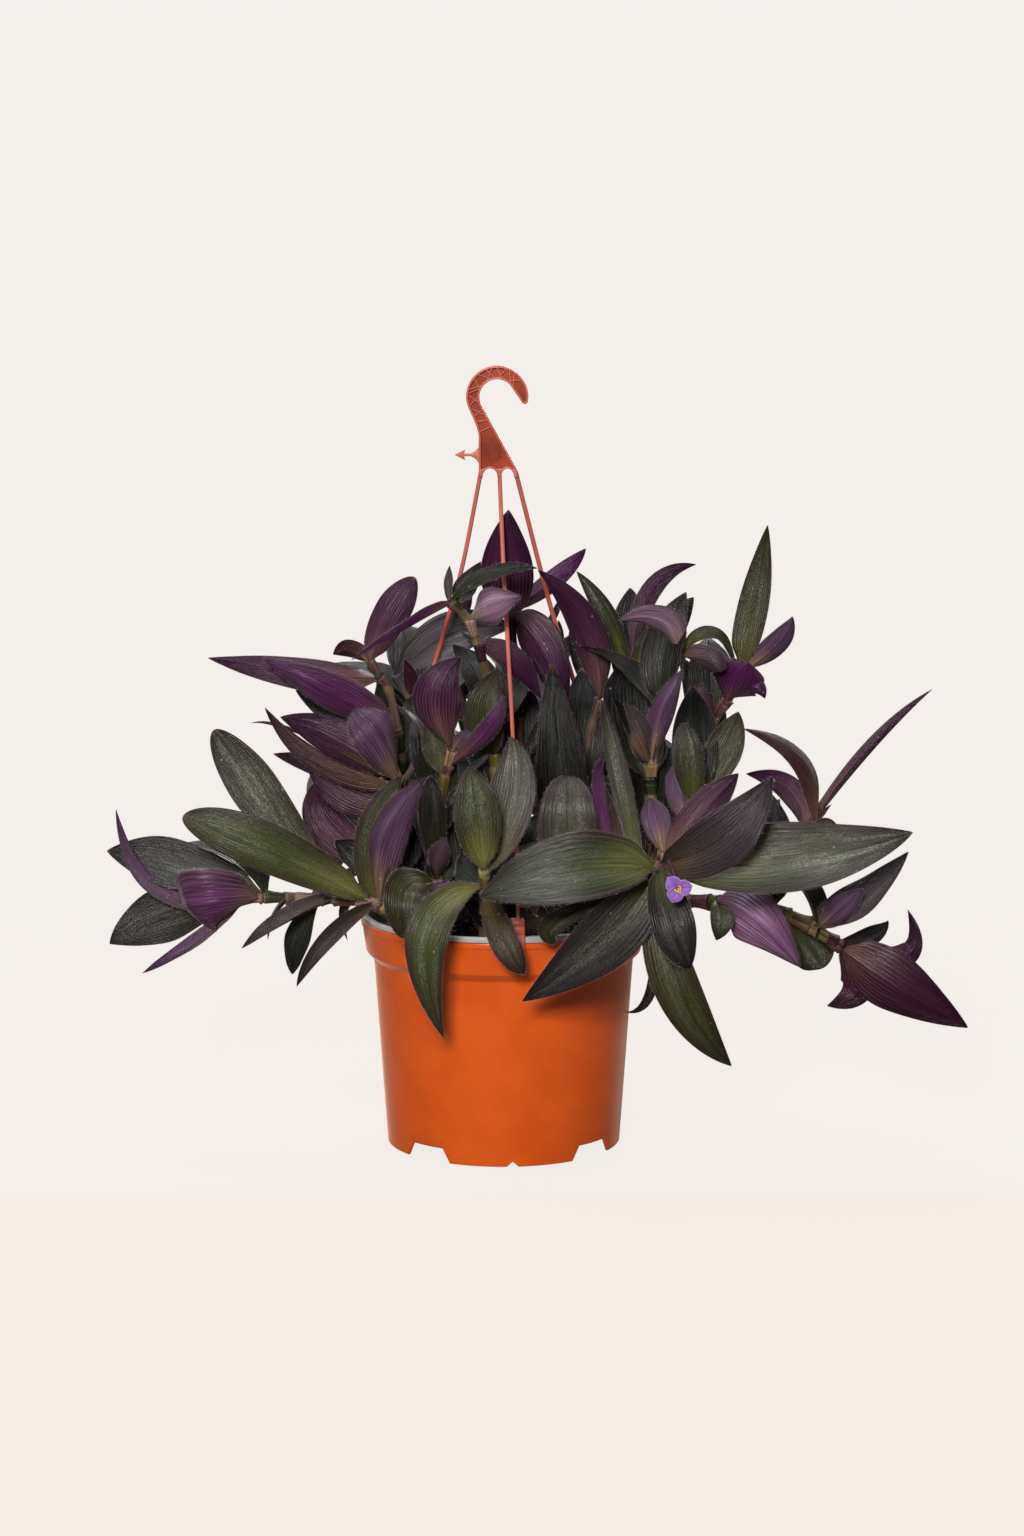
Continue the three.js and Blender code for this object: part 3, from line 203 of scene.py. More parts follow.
SHOOTS = {
    "trailing_left": Shoot(
        stem=[(-38, -18, 98), (-54, -27, 133), (-75, -38, 151), (-98, -44, 155),
              (-119, -48, 156), (-138, -52, 157), (-153, -54, 156)],
        radii=[3.4, 3.4, 3.4, 3.2, 3, 2.8, 2.2],
        leaves=[
            leaf(2.1, (-134, -66, 186), (-185, -64, 207), 32, (0, -3, 2), GREEN, BLUNT),
            leaf(3, (-137, -38, 209), (-169, -34, 253), 30, (-1, -3, 1), SILVER, BLUNT),
            leaf(5, (-189, -44, 173), (-232, -38, 182), 32, (0, -3, 2), SLATE, FULL),
            leaf(5.2, (-164, -76, 158), (-185, -66, 154), 45, (0, 3, 1), TRUMPET, FAN),
            leaf(6, (-200, -50, 165), (-225, -50, 209), 18, (-3, 1, -1), MAUVE, FOLDED),
            leaf(6, (-198, -48, 144), (-230, -50, 129), 36, (0, -3, 2), SLATE),
            leaf(5.9, (-183, -62, 135), (-210, -62, 114), 14, (2, 2, -3), MAUVE, FOLDED),
            leaf(3, (-125, -62, 145), (-152, -64, 129), 17, (1, -1, 3), TAUPE, FOLDED),
            leaf(4.4, (-134, -60, 148), (-137, -60, 133), 8, (3, 0, 1), TAUPE),
            leaf(3.4, (-119, -46, 130), (-124, -42, 109), 20, (-2, -3, 1), DARK),
            leaf(2, (-102, -68, 136), (-120, -66, 107), 15, (2, -1, 2), TAUPE, FOLDED),
            leaf(1.9, (-69, -52, 192), (-45, -52, 228), 27, (1, 3, 0), MAUVE, CUPPED),
            leaf(1.8, (-74, -40, 190), (-59, -36, 227), 26, (-1, -3, 0), OLIVE),
        ],
    ),
    "upper_left": Shoot(
        stem=[(-40, 12, 98), (-57, 4, 163), (-59, 0, 206), (-62, -4, 246), (-67, -6, 273),
              (-79, -5, 289)],
        radii=[3.2, 3.2, 3, 2.8, 2.6, 2.2],
        leaves=[
            leaf(4.4, (-118, -10, 284), (-174, -8, 292), 22, (0, 3, -2), PURPLE),
            leaf(3.1, (-97, -28, 272), (-141, -26, 294), 25, (0, 3, 1), VIVID),
            leaf(3, (-94, -2, 257), (-123, 0, 272), 20, (0, -3, -1), DARK),
            leaf(5, (-68, -6, 314), (-52, -2, 339), 22, (0, 3, 0), PURPLE, BROAD),
            leaf(4.9, (-90, 6, 294), (-101, 8, 292), 16, (0, 3, 2), BROWN),
            leaf(4.6, (-69, 6, 261), (-73, 8, 273), 20, (0, -3, 1), TEAL),
        ],
    ),
    "middle_left": Shoot(
        stem=[(-50, 4, 98), (-59, -10, 153), (-59, -16, 191), (-60, -20, 216), (-64, -22, 229)],
        radii=[3.2, 3.2, 3, 2.8, 2.4],
        leaves=[
            leaf(3.2, (-72, -44, 250), (-88, -34, 265), 30, (-1, 3, -1), MAUVE, BLUNT),
            leaf(3.3, (-49, -34, 248), (-63, -26, 267), 14, (3, -1, 0), TAUPE),
            leaf(3.4, (-98, -6, 242), (-132, -2, 256), 27, (0, 3, 1), PURPLE),
            leaf(3.2, (-105, -20, 235), (-140, -18, 264), 22, (1, 2, -3), BROWN, FOLDED),
            leaf(3.3, (-121, 6, 245), (-150, 6, 251), 8, (1, 1, 3), BROWN),
            leaf(2.6, (-92, -12, 213), (-117, -8, 236), 26, (0, 3, -1), MAROON),
            leaf(1.4, (-103, 6, 189), (-108, 10, 218), 28, (-1, 2, 0), MAROON),
            leaf(1.8, (-80, -2, 193), (-104, -2, 211), 20, (0, -3, 3), OLIVE),
            leaf(1.2, (-84, -6, 172), (-100, -4, 182), 20, (0, -3, 1), DARK),
        ],
    ),
    "top_left": Shoot(
        stem=[(-12, -8, 98), (-6, -26, 180), (-5, -29, 228), (-7, -32, 276), (-15, -34, 304),
              (-20, -36, 318), (-30, -38, 328)],
        radii=[3, 3, 2.8, 2.7, 2.6, 2.6, 2.2],
        leaves=[
            leaf(6, (-54, -50, 316), (-88, -52, 296), 15, (1, 1, 3), VIVID, CUPPED),
            leaf(5, (-8, -52, 328), (10, -50, 333), 23, (-1, 2, -1), LILAC),
            leaf(6, (-5, -44, 345), (20, -38, 348), 13, (0, -2, 3), DARK),
            leaf(6, (-31, -34, 339), (-31, -32, 349), 8, (-2, -2, 0), TAUPE),
            leaf(5.9, (-22, -30, 336), (-13, -28, 351), 14, (0, -3, 1), SLATE),
            leaf(2.2, (-11, -40, 263), (-3, -34, 289), 25, (0, -3, 1), OLIVE),
            leaf(4, (7, -30, 294), (22, -28, 270), 17, (0, 3, -2), DEEP),
        ],
    ),
    "top_middle": Shoot(
        stem=[(2, 18, 98), (10, 14, 204), (9, 12, 252), (6, 8, 295), (3, 5, 318)],
        radii=[3, 3, 2.8, 2.6, 2.4],
        leaves=[
            leaf(3.6, (2, 0, 341), (3, -4, 379), 33, (0, 3, 0), DEEP),
            leaf(4, (31, 30, 335), (49, 28, 353), 13, (-1, 3, -1), VIVID),
            leaf(3.9, (22, 0, 297), (37, -2, 259), 29, (0, 3, 2), DEEP),
            leaf(2.4, (28, 34, 287), (33, 38, 309), 12, (0, -3, 0), TAUPE),
        ],
    ),
    "centre_front": Shoot(
        stem=[(-8, -36, 98), (-11, -58, 138), (-11, -80, 166), (-11, -86, 179)],
        radii=[3, 3, 2.8, 2.4],
        leaves=[
            leaf(3, (-15, -94, 215), (-19, -90, 240), 28, (0, -3, 0), GREEN),
            leaf(2.7, (5, -80, 222), (4, -74, 255), 28, (0, -3, 0), PEWTER),
            leaf(2.2, (-42, -106, 145), (-34, -100, 84), 27, (-1, -3, 1), GREEN),
            leaf(2.1, (2, -100, 139), (12, -98, 121), 18, (-1, -3, 1), BROWN),
            leaf(2, (-19, -70, 173), (-26, -66, 184), 16, (0, -3, 0), TEAL),
        ],
    ),
    "centre_back": Shoot(
        stem=[(18, 6, 98), (41, -8, 153), (44, -4, 189), (48, 0, 224), (52, 0, 251),
              (57, -2, 266)],
        radii=[3.2, 3.2, 3, 2.8, 2.6, 2.4],
        leaves=[
            leaf(1, (34, -26, 223), (28, -20, 290), 31, (0, -3, 0), DARK),
            leaf(0.8, (37, -60, 194), (37, -48, 228), 35, (0, -3, 0), PEWTER, BLUNT),
            leaf(5, (48, -12, 311), (20, -18, 345), 22, (1, 2, -2), PURPLE, LOW),
        ],
    ),
    "middle_right": Shoot(
        stem=[(30, -14, 98), (86, -40, 177), (86, -40, 213), (86, -38, 233), (93, -32, 267),
              (99, -30, 288), (103, -30, 296)],
        radii=[3.4, 3.4, 3.3, 3.2, 2.6, 2.5, 2.2],
        leaves=[
            leaf(2.4, (78, -22, 258), (76, -6, 290), 38, (0, -3, 1), DARK, BLUNT),
            leaf(3, (92, -52, 265), (104, -50, 291), 17, (0, 2, 0), MAUVE, CUPPED),
            leaf(3, (81, -44, 254), (70, -42, 270), 13, (-1, -3, 0), TAUPE),
            leaf(6, (91, -42, 318), (66, -46, 318), 20, (0, 3, 2), LILAC),
            leaf(6, (124, -24, 307), (137, -22, 280), 13, (2, -2, 3), OLIVE),
            leaf(6, (117, -38, 295), (127, -40, 288), 18, (0, 2, 1), TAUPE, BLUNT),
            leaf(3, (79, -50, 245), (76, -50, 256), 10, (0, 3, 0), TAN),
        ],
    ),
    "top_right_behind": Shoot(
        stem=[(30, 30, 98), (78, 30, 201), (77, 24, 250), (75, 18, 283)],
        radii=[3, 3, 2.8, 2.4],
        leaves=[
            leaf(3, (61, 6, 317), (43, 4, 342), 15, (-2, -3, 1), SILVER),
            leaf(2.9, (87, 30, 326), (115, 32, 343), 13, (-1, 3, -2), DEEP),
            leaf(2.8, (95, 14, 303), (113, 18, 325), 22, (0, -3, 1), OLIVE),
            leaf(1.8, (52, 38, 278), (41, 40, 309), 17, (0, -3, 0), DARK),
        ],
    ),
    "top_right": Shoot(
        stem=[(46, 17, 98), (58, 19, 142), (111, 4, 175), (118, -2, 218), (124, -6, 255),
              (132, -8, 267), (140, -8, 284)],
        radii=[3, 3, 3, 2.8, 2.8, 2.8, 2.2],
        leaves=[
            leaf(6, (149, -4, 329), (155, -4, 370), 21, (-1, -3, 0), OLIVE, TAPERED),
            leaf(6, (160, -18, 301), (169, -20, 318), 15, (0, 3, 1), MAUVE),
            leaf(4.8, (136, -28, 280), (142, -34, 293), 32, (0, 3, 1), VIVID, BLUNT),
            leaf(5, (144, -22, 277), (153, -24, 270), 18, (0, 3, 1), VIVID),
            leaf(4, (115, -24, 259), (107, -26, 264), 14, (0, 3, 0), PURPLE),
            leaf(4, (116, -14, 268), (118, -14, 277), 16, (0, 3, 0), TAUPE),
        ],
    ),
    "upright_right": Shoot(
        stem=[(50, -38, 98), (58, -44, 142), (109, -52, 179), (110, -56, 212), (113, -56, 221)],
        radii=[3, 3, 3, 2.8, 2.6],
        leaves=[
            leaf(3.1, (106, -72, 243), (104, -66, 262), 19, (0, -3, 0), SILVER),
            leaf(3.2, (127, -54, 244), (136, -50, 266), 23, (0, -3, 0), OLIVE),
            leaf(2.6, (100, -50, 220), (103, -46, 237), 13, (0, 3, 0), MAUVE),
        ],
    ),
    "front_right": Shoot(
        stem=[(40, -42, 98), (50, -57, 142), (81, -104, 174), (87, -118, 187), (91, -120, 196)],
        radii=[3.6, 3.6, 3.4, 3.2, 2.4],
        leaves=[
            leaf(3, (36, -140, 188), (-13, -134, 173), 44, (0, -3, 2), SAGE),
            leaf(2.8, (60, -124, 150), (11, -106, 107), 36, (1, -3, 1), SLATE),
            leaf(2.8, (165, -126, 192), (231, -118, 207), 47, (0, -3, 2), SILVER, LOW),
            leaf(3.2, (122, -142, 208), (150, -138, 242), 33, (1, -3, 1), PLUM),
            leaf(3.6, (114, -118, 220), (133, -108, 239), 21, (-1, 3, -1), MAROON),
            leaf(3.9, (86, -112, 214), (83, -106, 225), 17, (0, 2, 0), MAUVE),
            leaf(3, (95, -142, 158), (105, -136, 132), 26, (0, -3, 1), SLATE),
            leaf(2.6, (100, -130, 119), (130, -118, 72), 29, (-1, -3, 0), OLIVE),
            leaf(2.4, (84, -116, 119), (67, -108, 102), 9, (1, -1, 1), PURPLE),
            leaf(2, (67, -82, 233), (56, -78, 277), 13, (-1, -3, 0), SILVER),
            leaf(1.8, (60, -52, 199), (58, -48, 224), 19, (0, -3, 0), BROWN),
            leaf(1.7, (56, -54, 215), (58, -52, 239), 8, (0, 3, 0), VIVID),
            leaf(1.8, (32, -100, 153), (30, -98, 139), 13, (0, -3, 1), OLIVE, BLUNT),
        ],
    ),
    "trailing_right": Shoot(
        stem=[(58, -8, 98), (68, -18, 144), (108, -62, 157), (136, -78, 158), (159, -84, 155),
              (177, -84, 146), (194, -82, 134)],
        radii=[3.6, 3.6, 3.6, 3.6, 3.8, 3.8, 3],
        leaves=[
            leaf(2.4, (139, -98, 156), (170, -98, 125), 35, (-1, 3, 1), ROSE),
            leaf(2.6, (125, -96, 153), (122, -94, 140), 15, (0, -3, 0), SILVER),
            leaf(4.2, (177, -68, 132), (186, -66, 118), 26, (0, -3, 1), SILVER, BLUNT),
            leaf(6, (222, -92, 114), (268, -86, 87), 38, (0, 3, 1), MAROON),
            leaf(5.9, (207, -66, 108), (188, -68, 96), 23, (0, 3, 1), MAROON),
            leaf(4.9, (205, -92, 162), (231, -96, 192), 27, (0, -2, 3), TAUPE),
            leaf(5.2, (191, -102, 159), (205, -104, 172), 16, (0, 3, -1), MAUVE),
            leaf(5.8, (212, -70, 138), (223, -66, 146), 12, (0, -3, 0), DEEP),
            leaf(6, (235, -62, 125), (235, -58, 151), 15, (0, 3, 0), DEEP),
        ],
    ),
    "behind_right": Shoot(
        stem=[(62, 4, 98), (70, 3, 146), (111, -2, 164), (140, -20, 169), (168, -36, 183),
              (182, -42, 198)],
        radii=[3.2, 3.2, 3.2, 3, 3, 2.4],
        leaves=[
            leaf(4.3, (211, -38, 241), (250, -34, 277), 10, (1, 2, 1), PURPLE, FOLDED),
            leaf(5, (175, -46, 235), (139, -42, 255), 17, (-1, 2, -2), BROWN),
            leaf(4.6, (168, -30, 216), (142, -28, 226), 17, (0, 3, 1), PURPLE),
            leaf(4, (159, -46, 203), (161, -46, 214), 9, (0, -3, 0), DEEP),
            leaf(5, (188, -46, 201), (194, -47, 199), 5, (0, -3, 1), DRY, FOLDED),
            leaf(5, (186, -44, 206), (191, -46, 211), 4, (1, -3, 0), DRY, FOLDED),
        ],
    ),
    "centre_left": Shoot(
        stem=[(-26, -24, 98), (-39, -50, 167), (-38, -50, 196), (-34, -48, 226), (-30, -48, 244)],
        radii=[3, 3, 2.8, 2.6, 2.4],
        leaves=[
            leaf(0.9, (-55, -88, 169), (-56, -94, 141), 25, (0, -3, 1), OLIVE, BLUNT),
            leaf(0.9, (-38, -74, 164), (-32, -74, 171), 15, (0, 3, 0), MAUVE),
            leaf(4, (-38, -58, 275), (-24, -52, 298), 30, (0, 3, 0), PURPLE),
            leaf(3.4, (-9, -62, 257), (0, -58, 276), 12, (0, 3, 0), VIVID),
            leaf(1.2, (-41, -62, 209), (-42, -60, 230), 17, (0, -3, 0), DARK),
            leaf(1, (-37, -66, 184), (-33, -66, 195), 13, (0, 3, 0), TAUPE),
            leaf(3, (-37, -38, 245), (-46, -32, 260), 22, (0, -3, 0), OLIVE),
            leaf(3.9, (-23, -54, 251), (-17, -52, 247), 9, (0, 3, 0), MAUVE),
        ],
    ),
    "upper_middle_left": Shoot(
        stem=[(-22, 24, 98), (-42, 22, 174), (-48, 22, 222), (-55, 22, 262), (-65, 20, 278)],
        radii=[3, 3, 2.8, 2.6, 2.4],
        leaves=[
            leaf(4, (-31, 24, 302), (6, 26, 306), 28, (0, -3, 1), DUSK),
            leaf(3.2, (-55, 12, 276), (-59, 10, 289), 9, (0, 3, 0), MAROON),
        ],
    ),
}

# The inner leaves that fill the middle of the plant, in the SHADED tone of painted shade: where on the
# stem each grows, which way it leans (degrees round from +X) and how far it leans from upright.
INNER_LEAF = {"long": 70, "wide": 28, "arch": 18}
INNER_LEAVES = {
    "trailing_left": [(5, 150, 60)],
    "upper_left": [(0.6, 270, 15)],
    "top_left": [(2.4, 120, 35)],
    "top_middle": [(0.4, 60, 35), (1.4, 120, 15)],
    "centre_back": [(2.8, 90, 15)],
    "middle_right": [(1, 60, 15), (4, 60, 15)],
    "top_right_behind": [(0.8, 90, 15), (2.4, 90, 15)],
    "top_right": [(3.2, 120, 15), (3.8, 90, 35)],
    "upright_right": [(3.2, 90, 15)],
    "trailing_right": [(3.8, 90, 15), (5.2, 150, 35)],
    "centre_left": [(2.4, 60, 60)],
    "upper_middle_left": [(2.8, 150, 60)],
}

# More of them, low and at the back, in the same painted shade, that close the gaps between the stems.
FILLING_LEAVES = {
    "top_middle": [(0.5, 100, 40), (0.8, 170, 30), (1.1, 30, 30), (1.5, 80, 35), (2.1, 150, 35)],
    "centre_back": [(0.6, 90, 45), (1.4, 40, 30), (1.9, 130, 30), (2.4, 60, 35)],
    "upper_middle_left": [(0.5, 60, 35), (0.9, 120, 40), (1.5, 90, 30), (2.2, 40, 35), (2.9, 100, 40)],
    "top_left": [(0.6, 100, 35), (0.9, 60, 30), (1.4, 150, 30), (2.3, 60, 45)],
    "centre_left": [(0.5, 90, 35), (0.9, 120, 20), (1.6, 70, 30), (2.2, 110, 30)],
    "middle_left": [(0.6, 60, 30), (1.2, 110, 30), (2.2, 80, 40)],
    "upper_left": [(0.8, 90, 35), (1.6, 60, 40), (2.6, 90, 40)],
    "middle_right": [(0.8, 110, 30), (1.6, 90, 35), (2.6, 120, 35), (3.6, 150, 40)],
    "top_right_behind": [(0.6, 150, 30), (1.3, 120, 35), (2.3, 150, 15)],
    "top_right": [(1.7, 90, 5), (2.2, 170, 15)],
    "upright_right": [(0.9, 100, 40), (2.2, 70, 30)],
    "centre_front": [(0.8, 120, 30), (0.9, 50, 35), (1.5, 80, 35)],
    "front_right": [(0.9, 100, 50), (1.5, 80, 50)],
    "trailing_right": [(1.0, 150, 40), (1.5, 110, 50)],
    "trailing_left": [(0.7, 60, 60), (1.1, 100, 50)],
}

# The stems at the back: each is one of those above turned round the pot's axis by degrees and
# drawn in towards its root by a scale, without some of its leaves.
BACK_SHOOTS = {
    "back_low": ("front_right", 158, 0.85, [5, 8, 9, 10, 11, 12]),
    "back_trailing_left": ("trailing_left", -64, 0.8, [8, 9, 12]),
    "back_trailing_right": ("trailing_right", 75, 0.75, [1, 2, 7]),
    "back_middle": ("centre_front", 170, 0.95, []),
    "back_tall": ("top_right", 84, 1, [0]),
    "back_upper_left": ("upper_left", -70, 0.95, [4]),
}

# The colours of a stem's own skin, along its stretches and at its joints.
STEM_SKINS = {
    "trailing_left": ((176, 146, 132), (168, 150, 112)),
    "top_left": ((112, 112, 66), (146, 138, 92)),
    "trailing_right": ((138, 132, 84), (166, 158, 100)),
    "top_right": ((120, 124, 78), (150, 150, 96)),
    "front_right": ((138, 112, 104), (138, 132, 84)),
    "middle_right": ((142, 126, 100), (150, 142, 92)),
}
PLAIN_SKIN = ((118, 104, 88), (134, 124, 84))

# ---- helpers for meshes ---------------------------------------------------------------------


def to_linear(colour):
    """A display colour, from 0 to 255, as the linear values that shaders mix."""
    c = np.asarray(colour, float) / 255
    return np.where(c <= 0.04045, c / 12.92, ((c + 0.055) / 1.055) ** 2.4)


def rgba(colour):
    """A display colour as an opaque one for a shader."""
    return (*to_linear(colour), 1.0)


def smooth_step(x, low, high):
    """A value taken from low-high to 0-1 on a smooth curve, and held outside it."""
    f = np.clip((np.asarray(x, float) - low) / (high - low), 0, 1)
    return f * f * (3 - 2 * f)


def mesh_object(name, points, faces, smooth=True):
    """A mesh object from points in millimetres, its place in its mesh."""
    mesh = bpy.data.meshes.new(name)
    mesh.from_pydata([tuple(p) for p in np.asarray(points, float) * MM], [], faces)
    mesh.validate()
    if smooth:
        mesh.shade_smooth()
    else:
        mesh.shade_flat()
    piece = bpy.data.objects.new(name, mesh)
    bpy.context.scene.collection.objects.link(piece)
    return piece


def evaluated_mesh(piece):
    """The piece as its modifiers leave it, as a plain mesh of its own."""
    graph = bpy.context.evaluated_depsgraph_get()
    return bpy.data.meshes.new_from_object(piece.evaluated_get(graph), preserve_all_data_layers=True,
                                           depsgraph=graph)


def applied(piece):
    """Turns the piece's modifiers into plain mesh and removes them."""
    mesh = evaluated_mesh(piece)
    piece.modifiers.clear()
    piece.data = mesh
    mesh.name = piece.name
    return piece


def finished(piece, node_names, slot, *materials):
    """Gives a piece its materials, its body and the nodes it stands for; its slot is not used."""
    if materials:
        piece.data.materials.clear()
        for material in materials:
            piece.data.materials.append(material)
    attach(piece, "root")
    if node_names:
        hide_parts(*node_names)
    return piece


def merged(name, pieces):
    """Several mesh objects as one, with their material indices kept."""
    with bpy.context.temp_override(active_object=pieces[0], object=pieces[0],
                                   selected_objects=pieces, selected_editable_objects=pieces):
        bpy.ops.object.join()
    pieces[0].name = name
    pieces[0].data.name = name
    return pieces[0]


# ---- helpers for node trees -----------------------------------------------------------------


def node(tree, kind, inputs=None, **settings):
    """Adds a node: its settings, then its inputs by name or number, wired to a socket or set."""
    made = tree.nodes.new(kind)
    for key, value in settings.items():
        setattr(made, key, value)
    for key, value in (inputs or {}).items():
        feed(tree, made.inputs[key], value)
    return made


def feed(tree, socket, value):
    """Sets a socket to a value or an 0-255 colour, or wires it to a socket or a node."""
    if isinstance(value, bpy.types.Node):
        value = next(s for s in value.outputs if s.enabled)
    if isinstance(value, bpy.types.NodeSocket):
        tree.links.new(value, socket)
    elif socket.type == "RGBA" and len(value) == 3:
        socket.default_value = rgba(value)
    else:
        socket.default_value = value


def calc(tree, operation, *values):
    return node(tree, "ShaderNodeMath", dict(enumerate(values)), operation=operation)


def times(tree, a, b):
    return calc(tree, "MULTIPLY", a, b)


def noise(tree, vector, scale=1.0, detail=2.0, roughness=0.5):
    return node(tree, "ShaderNodeTexNoise", {"Vector": vector, "Scale": scale, "Detail": detail,
                                             "Roughness": roughness})


def blend(tree, factor, a, b, how="MIX"):
    """Two colours mixed by a factor."""
    made = node(tree, "ShaderNodeMix", {0: factor, 6: a, 7: b}, data_type="RGBA", blend_type=how)
    return made.outputs[2]


def dyed(tree, colour, dye):
    """A colour multiplied by another."""
    return blend(tree, 1.0, colour, dye, "MULTIPLY")


def ramp(tree, value, low, high, start=0.0, end=1.0):
    """A value taken from low-high to start-end on a smooth curve, and held outside it."""
    return node(tree, "ShaderNodeMapRange", {0: value, 1: low, 2: high, 3: start, 4: end},
                interpolation_type="SMOOTHSTEP")


def scaled(tree, vector, scale):
    return node(tree, "ShaderNodeVectorMath", {0: vector, 1: scale}, operation="MULTIPLY")


def own_place(tree):
    """The place on the object, in its own metres."""
    return node(tree, "ShaderNodeTexCoord").outputs["Object"]


def attribute(tree, name):
    return node(tree, "ShaderNodeAttribute", attribute_name=name)


def node_group(name, kind, inputs, outputs):
    """A node group with its sockets; returns it with its input and output nodes."""
    tree = bpy.data.node_groups.new(name, kind)
    for label, socket, value in inputs:
        made = tree.interface.new_socket(name=label, in_out="INPUT", socket_type=socket)
        if value is not None:
            made.default_value = rgba(value) if socket == "NodeSocketColor" else value
    for label, socket in outputs:
        tree.interface.new_socket(name=label, in_out="OUTPUT", socket_type=socket)
    return tree, tree.nodes.new("NodeGroupInput"), tree.nodes.new("NodeGroupOutput")


def placed_group(tree, group, inputs):
    """Places a shader group in a tree, with its named inputs set or wired."""
    made = tree.nodes.new("ShaderNodeGroup")
    made.node_tree = group
    for key, value in inputs.items():
        feed(tree, made.inputs[key], value)
    return made


def new_material(name, **fixed):
    """A material with one Principled shader, and plain values set on its own sockets."""
    material = bpy.data.materials.new(name)
    material.use_nodes = True
    tree = material.node_tree
    shader = tree.nodes["Principled BSDF"]
    for key, value in fixed.items():
        feed(tree, shader.inputs[key.replace("_", " ")], value)
    return material, tree, shader


def surfaced(tree, shader, colour, roughness=None, relief=None):
    """Wires a shader's colour, and its roughness and relief (strength, depth, height) if any."""
    feed(tree, shader.inputs["Base Color"], colour)
    if roughness is not None:
        feed(tree, shader.inputs["Roughness"], roughness)
    if relief is not None:
        strength, depth, height = relief
        feed(tree, shader.inputs["Normal"], node(tree, "ShaderNodeBump", {
            "Strength": strength, "Distance": depth, "Height": height}))


def closed_tree(tree, given, result, geometry):
    """Ends a geometry tree: instances made real, in the material that the tree is given."""
    whole = node(tree, "GeometryNodeRealizeInstances", {"Geometry": geometry})
    done = node(tree, "GeometryNodeSetMaterial", {"Geometry": whole, "Material": given.outputs["Material"]})
    feed(tree, result.inputs[0], done)
    return tree


def with_tree(piece, tree, values):
    """Runs a geometry tree on a piece, with its named inputs set, and keeps the plain mesh."""
    modifier = piece.modifiers.new(tree.name, "NODES")
    modifier.node_group = tree
    for item in tree.interface.items_tree:
        if item.item_type == "SOCKET" and item.in_out == "INPUT" and item.name in values:
            modifier[item.identifier] = values[item.name]
    return applied(piece)


# ---- shader groups --------------------------------------------------------------------------

FLOAT, COLOUR, VECTOR = "NodeSocketFloat", "NodeSocketColor", "NodeSocketVector"
GEOMETRY, MATERIAL, WHOLE = "NodeSocketGeometry", "NodeSocketMaterial", "NodeSocketInt"


def parallel_veins_group():
    """Veins that run along a blade: fine streaks, broad bands, and a height for their relief.

    Blade is (across from -1 to 1, length along in centimetres, a number for the leaf)."""
    group, given, result = node_group(
        "Parallel veins", "ShaderNodeTree",
        [("Blade", VECTOR, None), ("Veins", FLOAT, 15.0)],
        [("Streaks", FLOAT), ("Bands", FLOAT), ("Lines", FLOAT), ("Height", FLOAT)])
    blade, veins = given.outputs["Blade"], given.outputs["Veins"]
    stretch = node(group, "ShaderNodeCombineXYZ", {0: veins, 1: 0.35, 2: 7.0})
    fine = noise(group, scaled(group, blade, stretch), 1.0, 3.0, 0.6)
    broad = noise(group, scaled(group, blade, (2.6, 0.22, 5.0)))
    across = node(group, "ShaderNodeSeparateXYZ", {0: blade})
    phase = times(group, across, times(group, veins, 3.1416))
    ridge = calc(group, "COSINE", calc(group, "MULTIPLY_ADD", broad, 7.0, phase))
    streaks = ramp(group, fine, 0.32, 0.68)
    height = calc(group, "MULTIPLY_ADD", ridge, 0.35, streaks)
    feed(group, result.inputs["Streaks"], streaks)
    feed(group, result.inputs["Bands"], ramp(group, broad, 0.35, 0.65))
    feed(group, result.inputs["Lines"], ramp(group, ridge, 0.4, 0.95))
    feed(group, result.inputs["Height"], height)
    return group


def flecks_group():
    """Fine mottling and sparse bright specks, in metres on the object."""
    group, given, result = node_group(
        "Flecks", "ShaderNodeTree",
        [("Mottle size", FLOAT, 0.0009), ("Speck spacing", FLOAT, 0.005)],
        [("Mottle", FLOAT), ("Specks", FLOAT)])
    place = own_place(group)
    mottle = noise(group, place, calc(group, "DIVIDE", 1.0, given.outputs["Mottle size"]), 2.0, 0.7)
    cells = node(group, "ShaderNodeTexVoronoi", {
        "Vector": place, "Scale": calc(group, "DIVIDE", 1.0, given.outputs["Speck spacing"])})
    chosen = node(group, "ShaderNodeSeparateColor", {0: cells.outputs["Color"]})
    near = ramp(group, cells.outputs["Distance"], 0.045, 0.085, 1.0, 0.0)
    feed(group, result.inputs["Mottle"], ramp(group, mottle, 0.38, 0.72))
    feed(group, result.inputs["Specks"], times(group, near, ramp(group, chosen, 0.6, 0.62)))
    return group


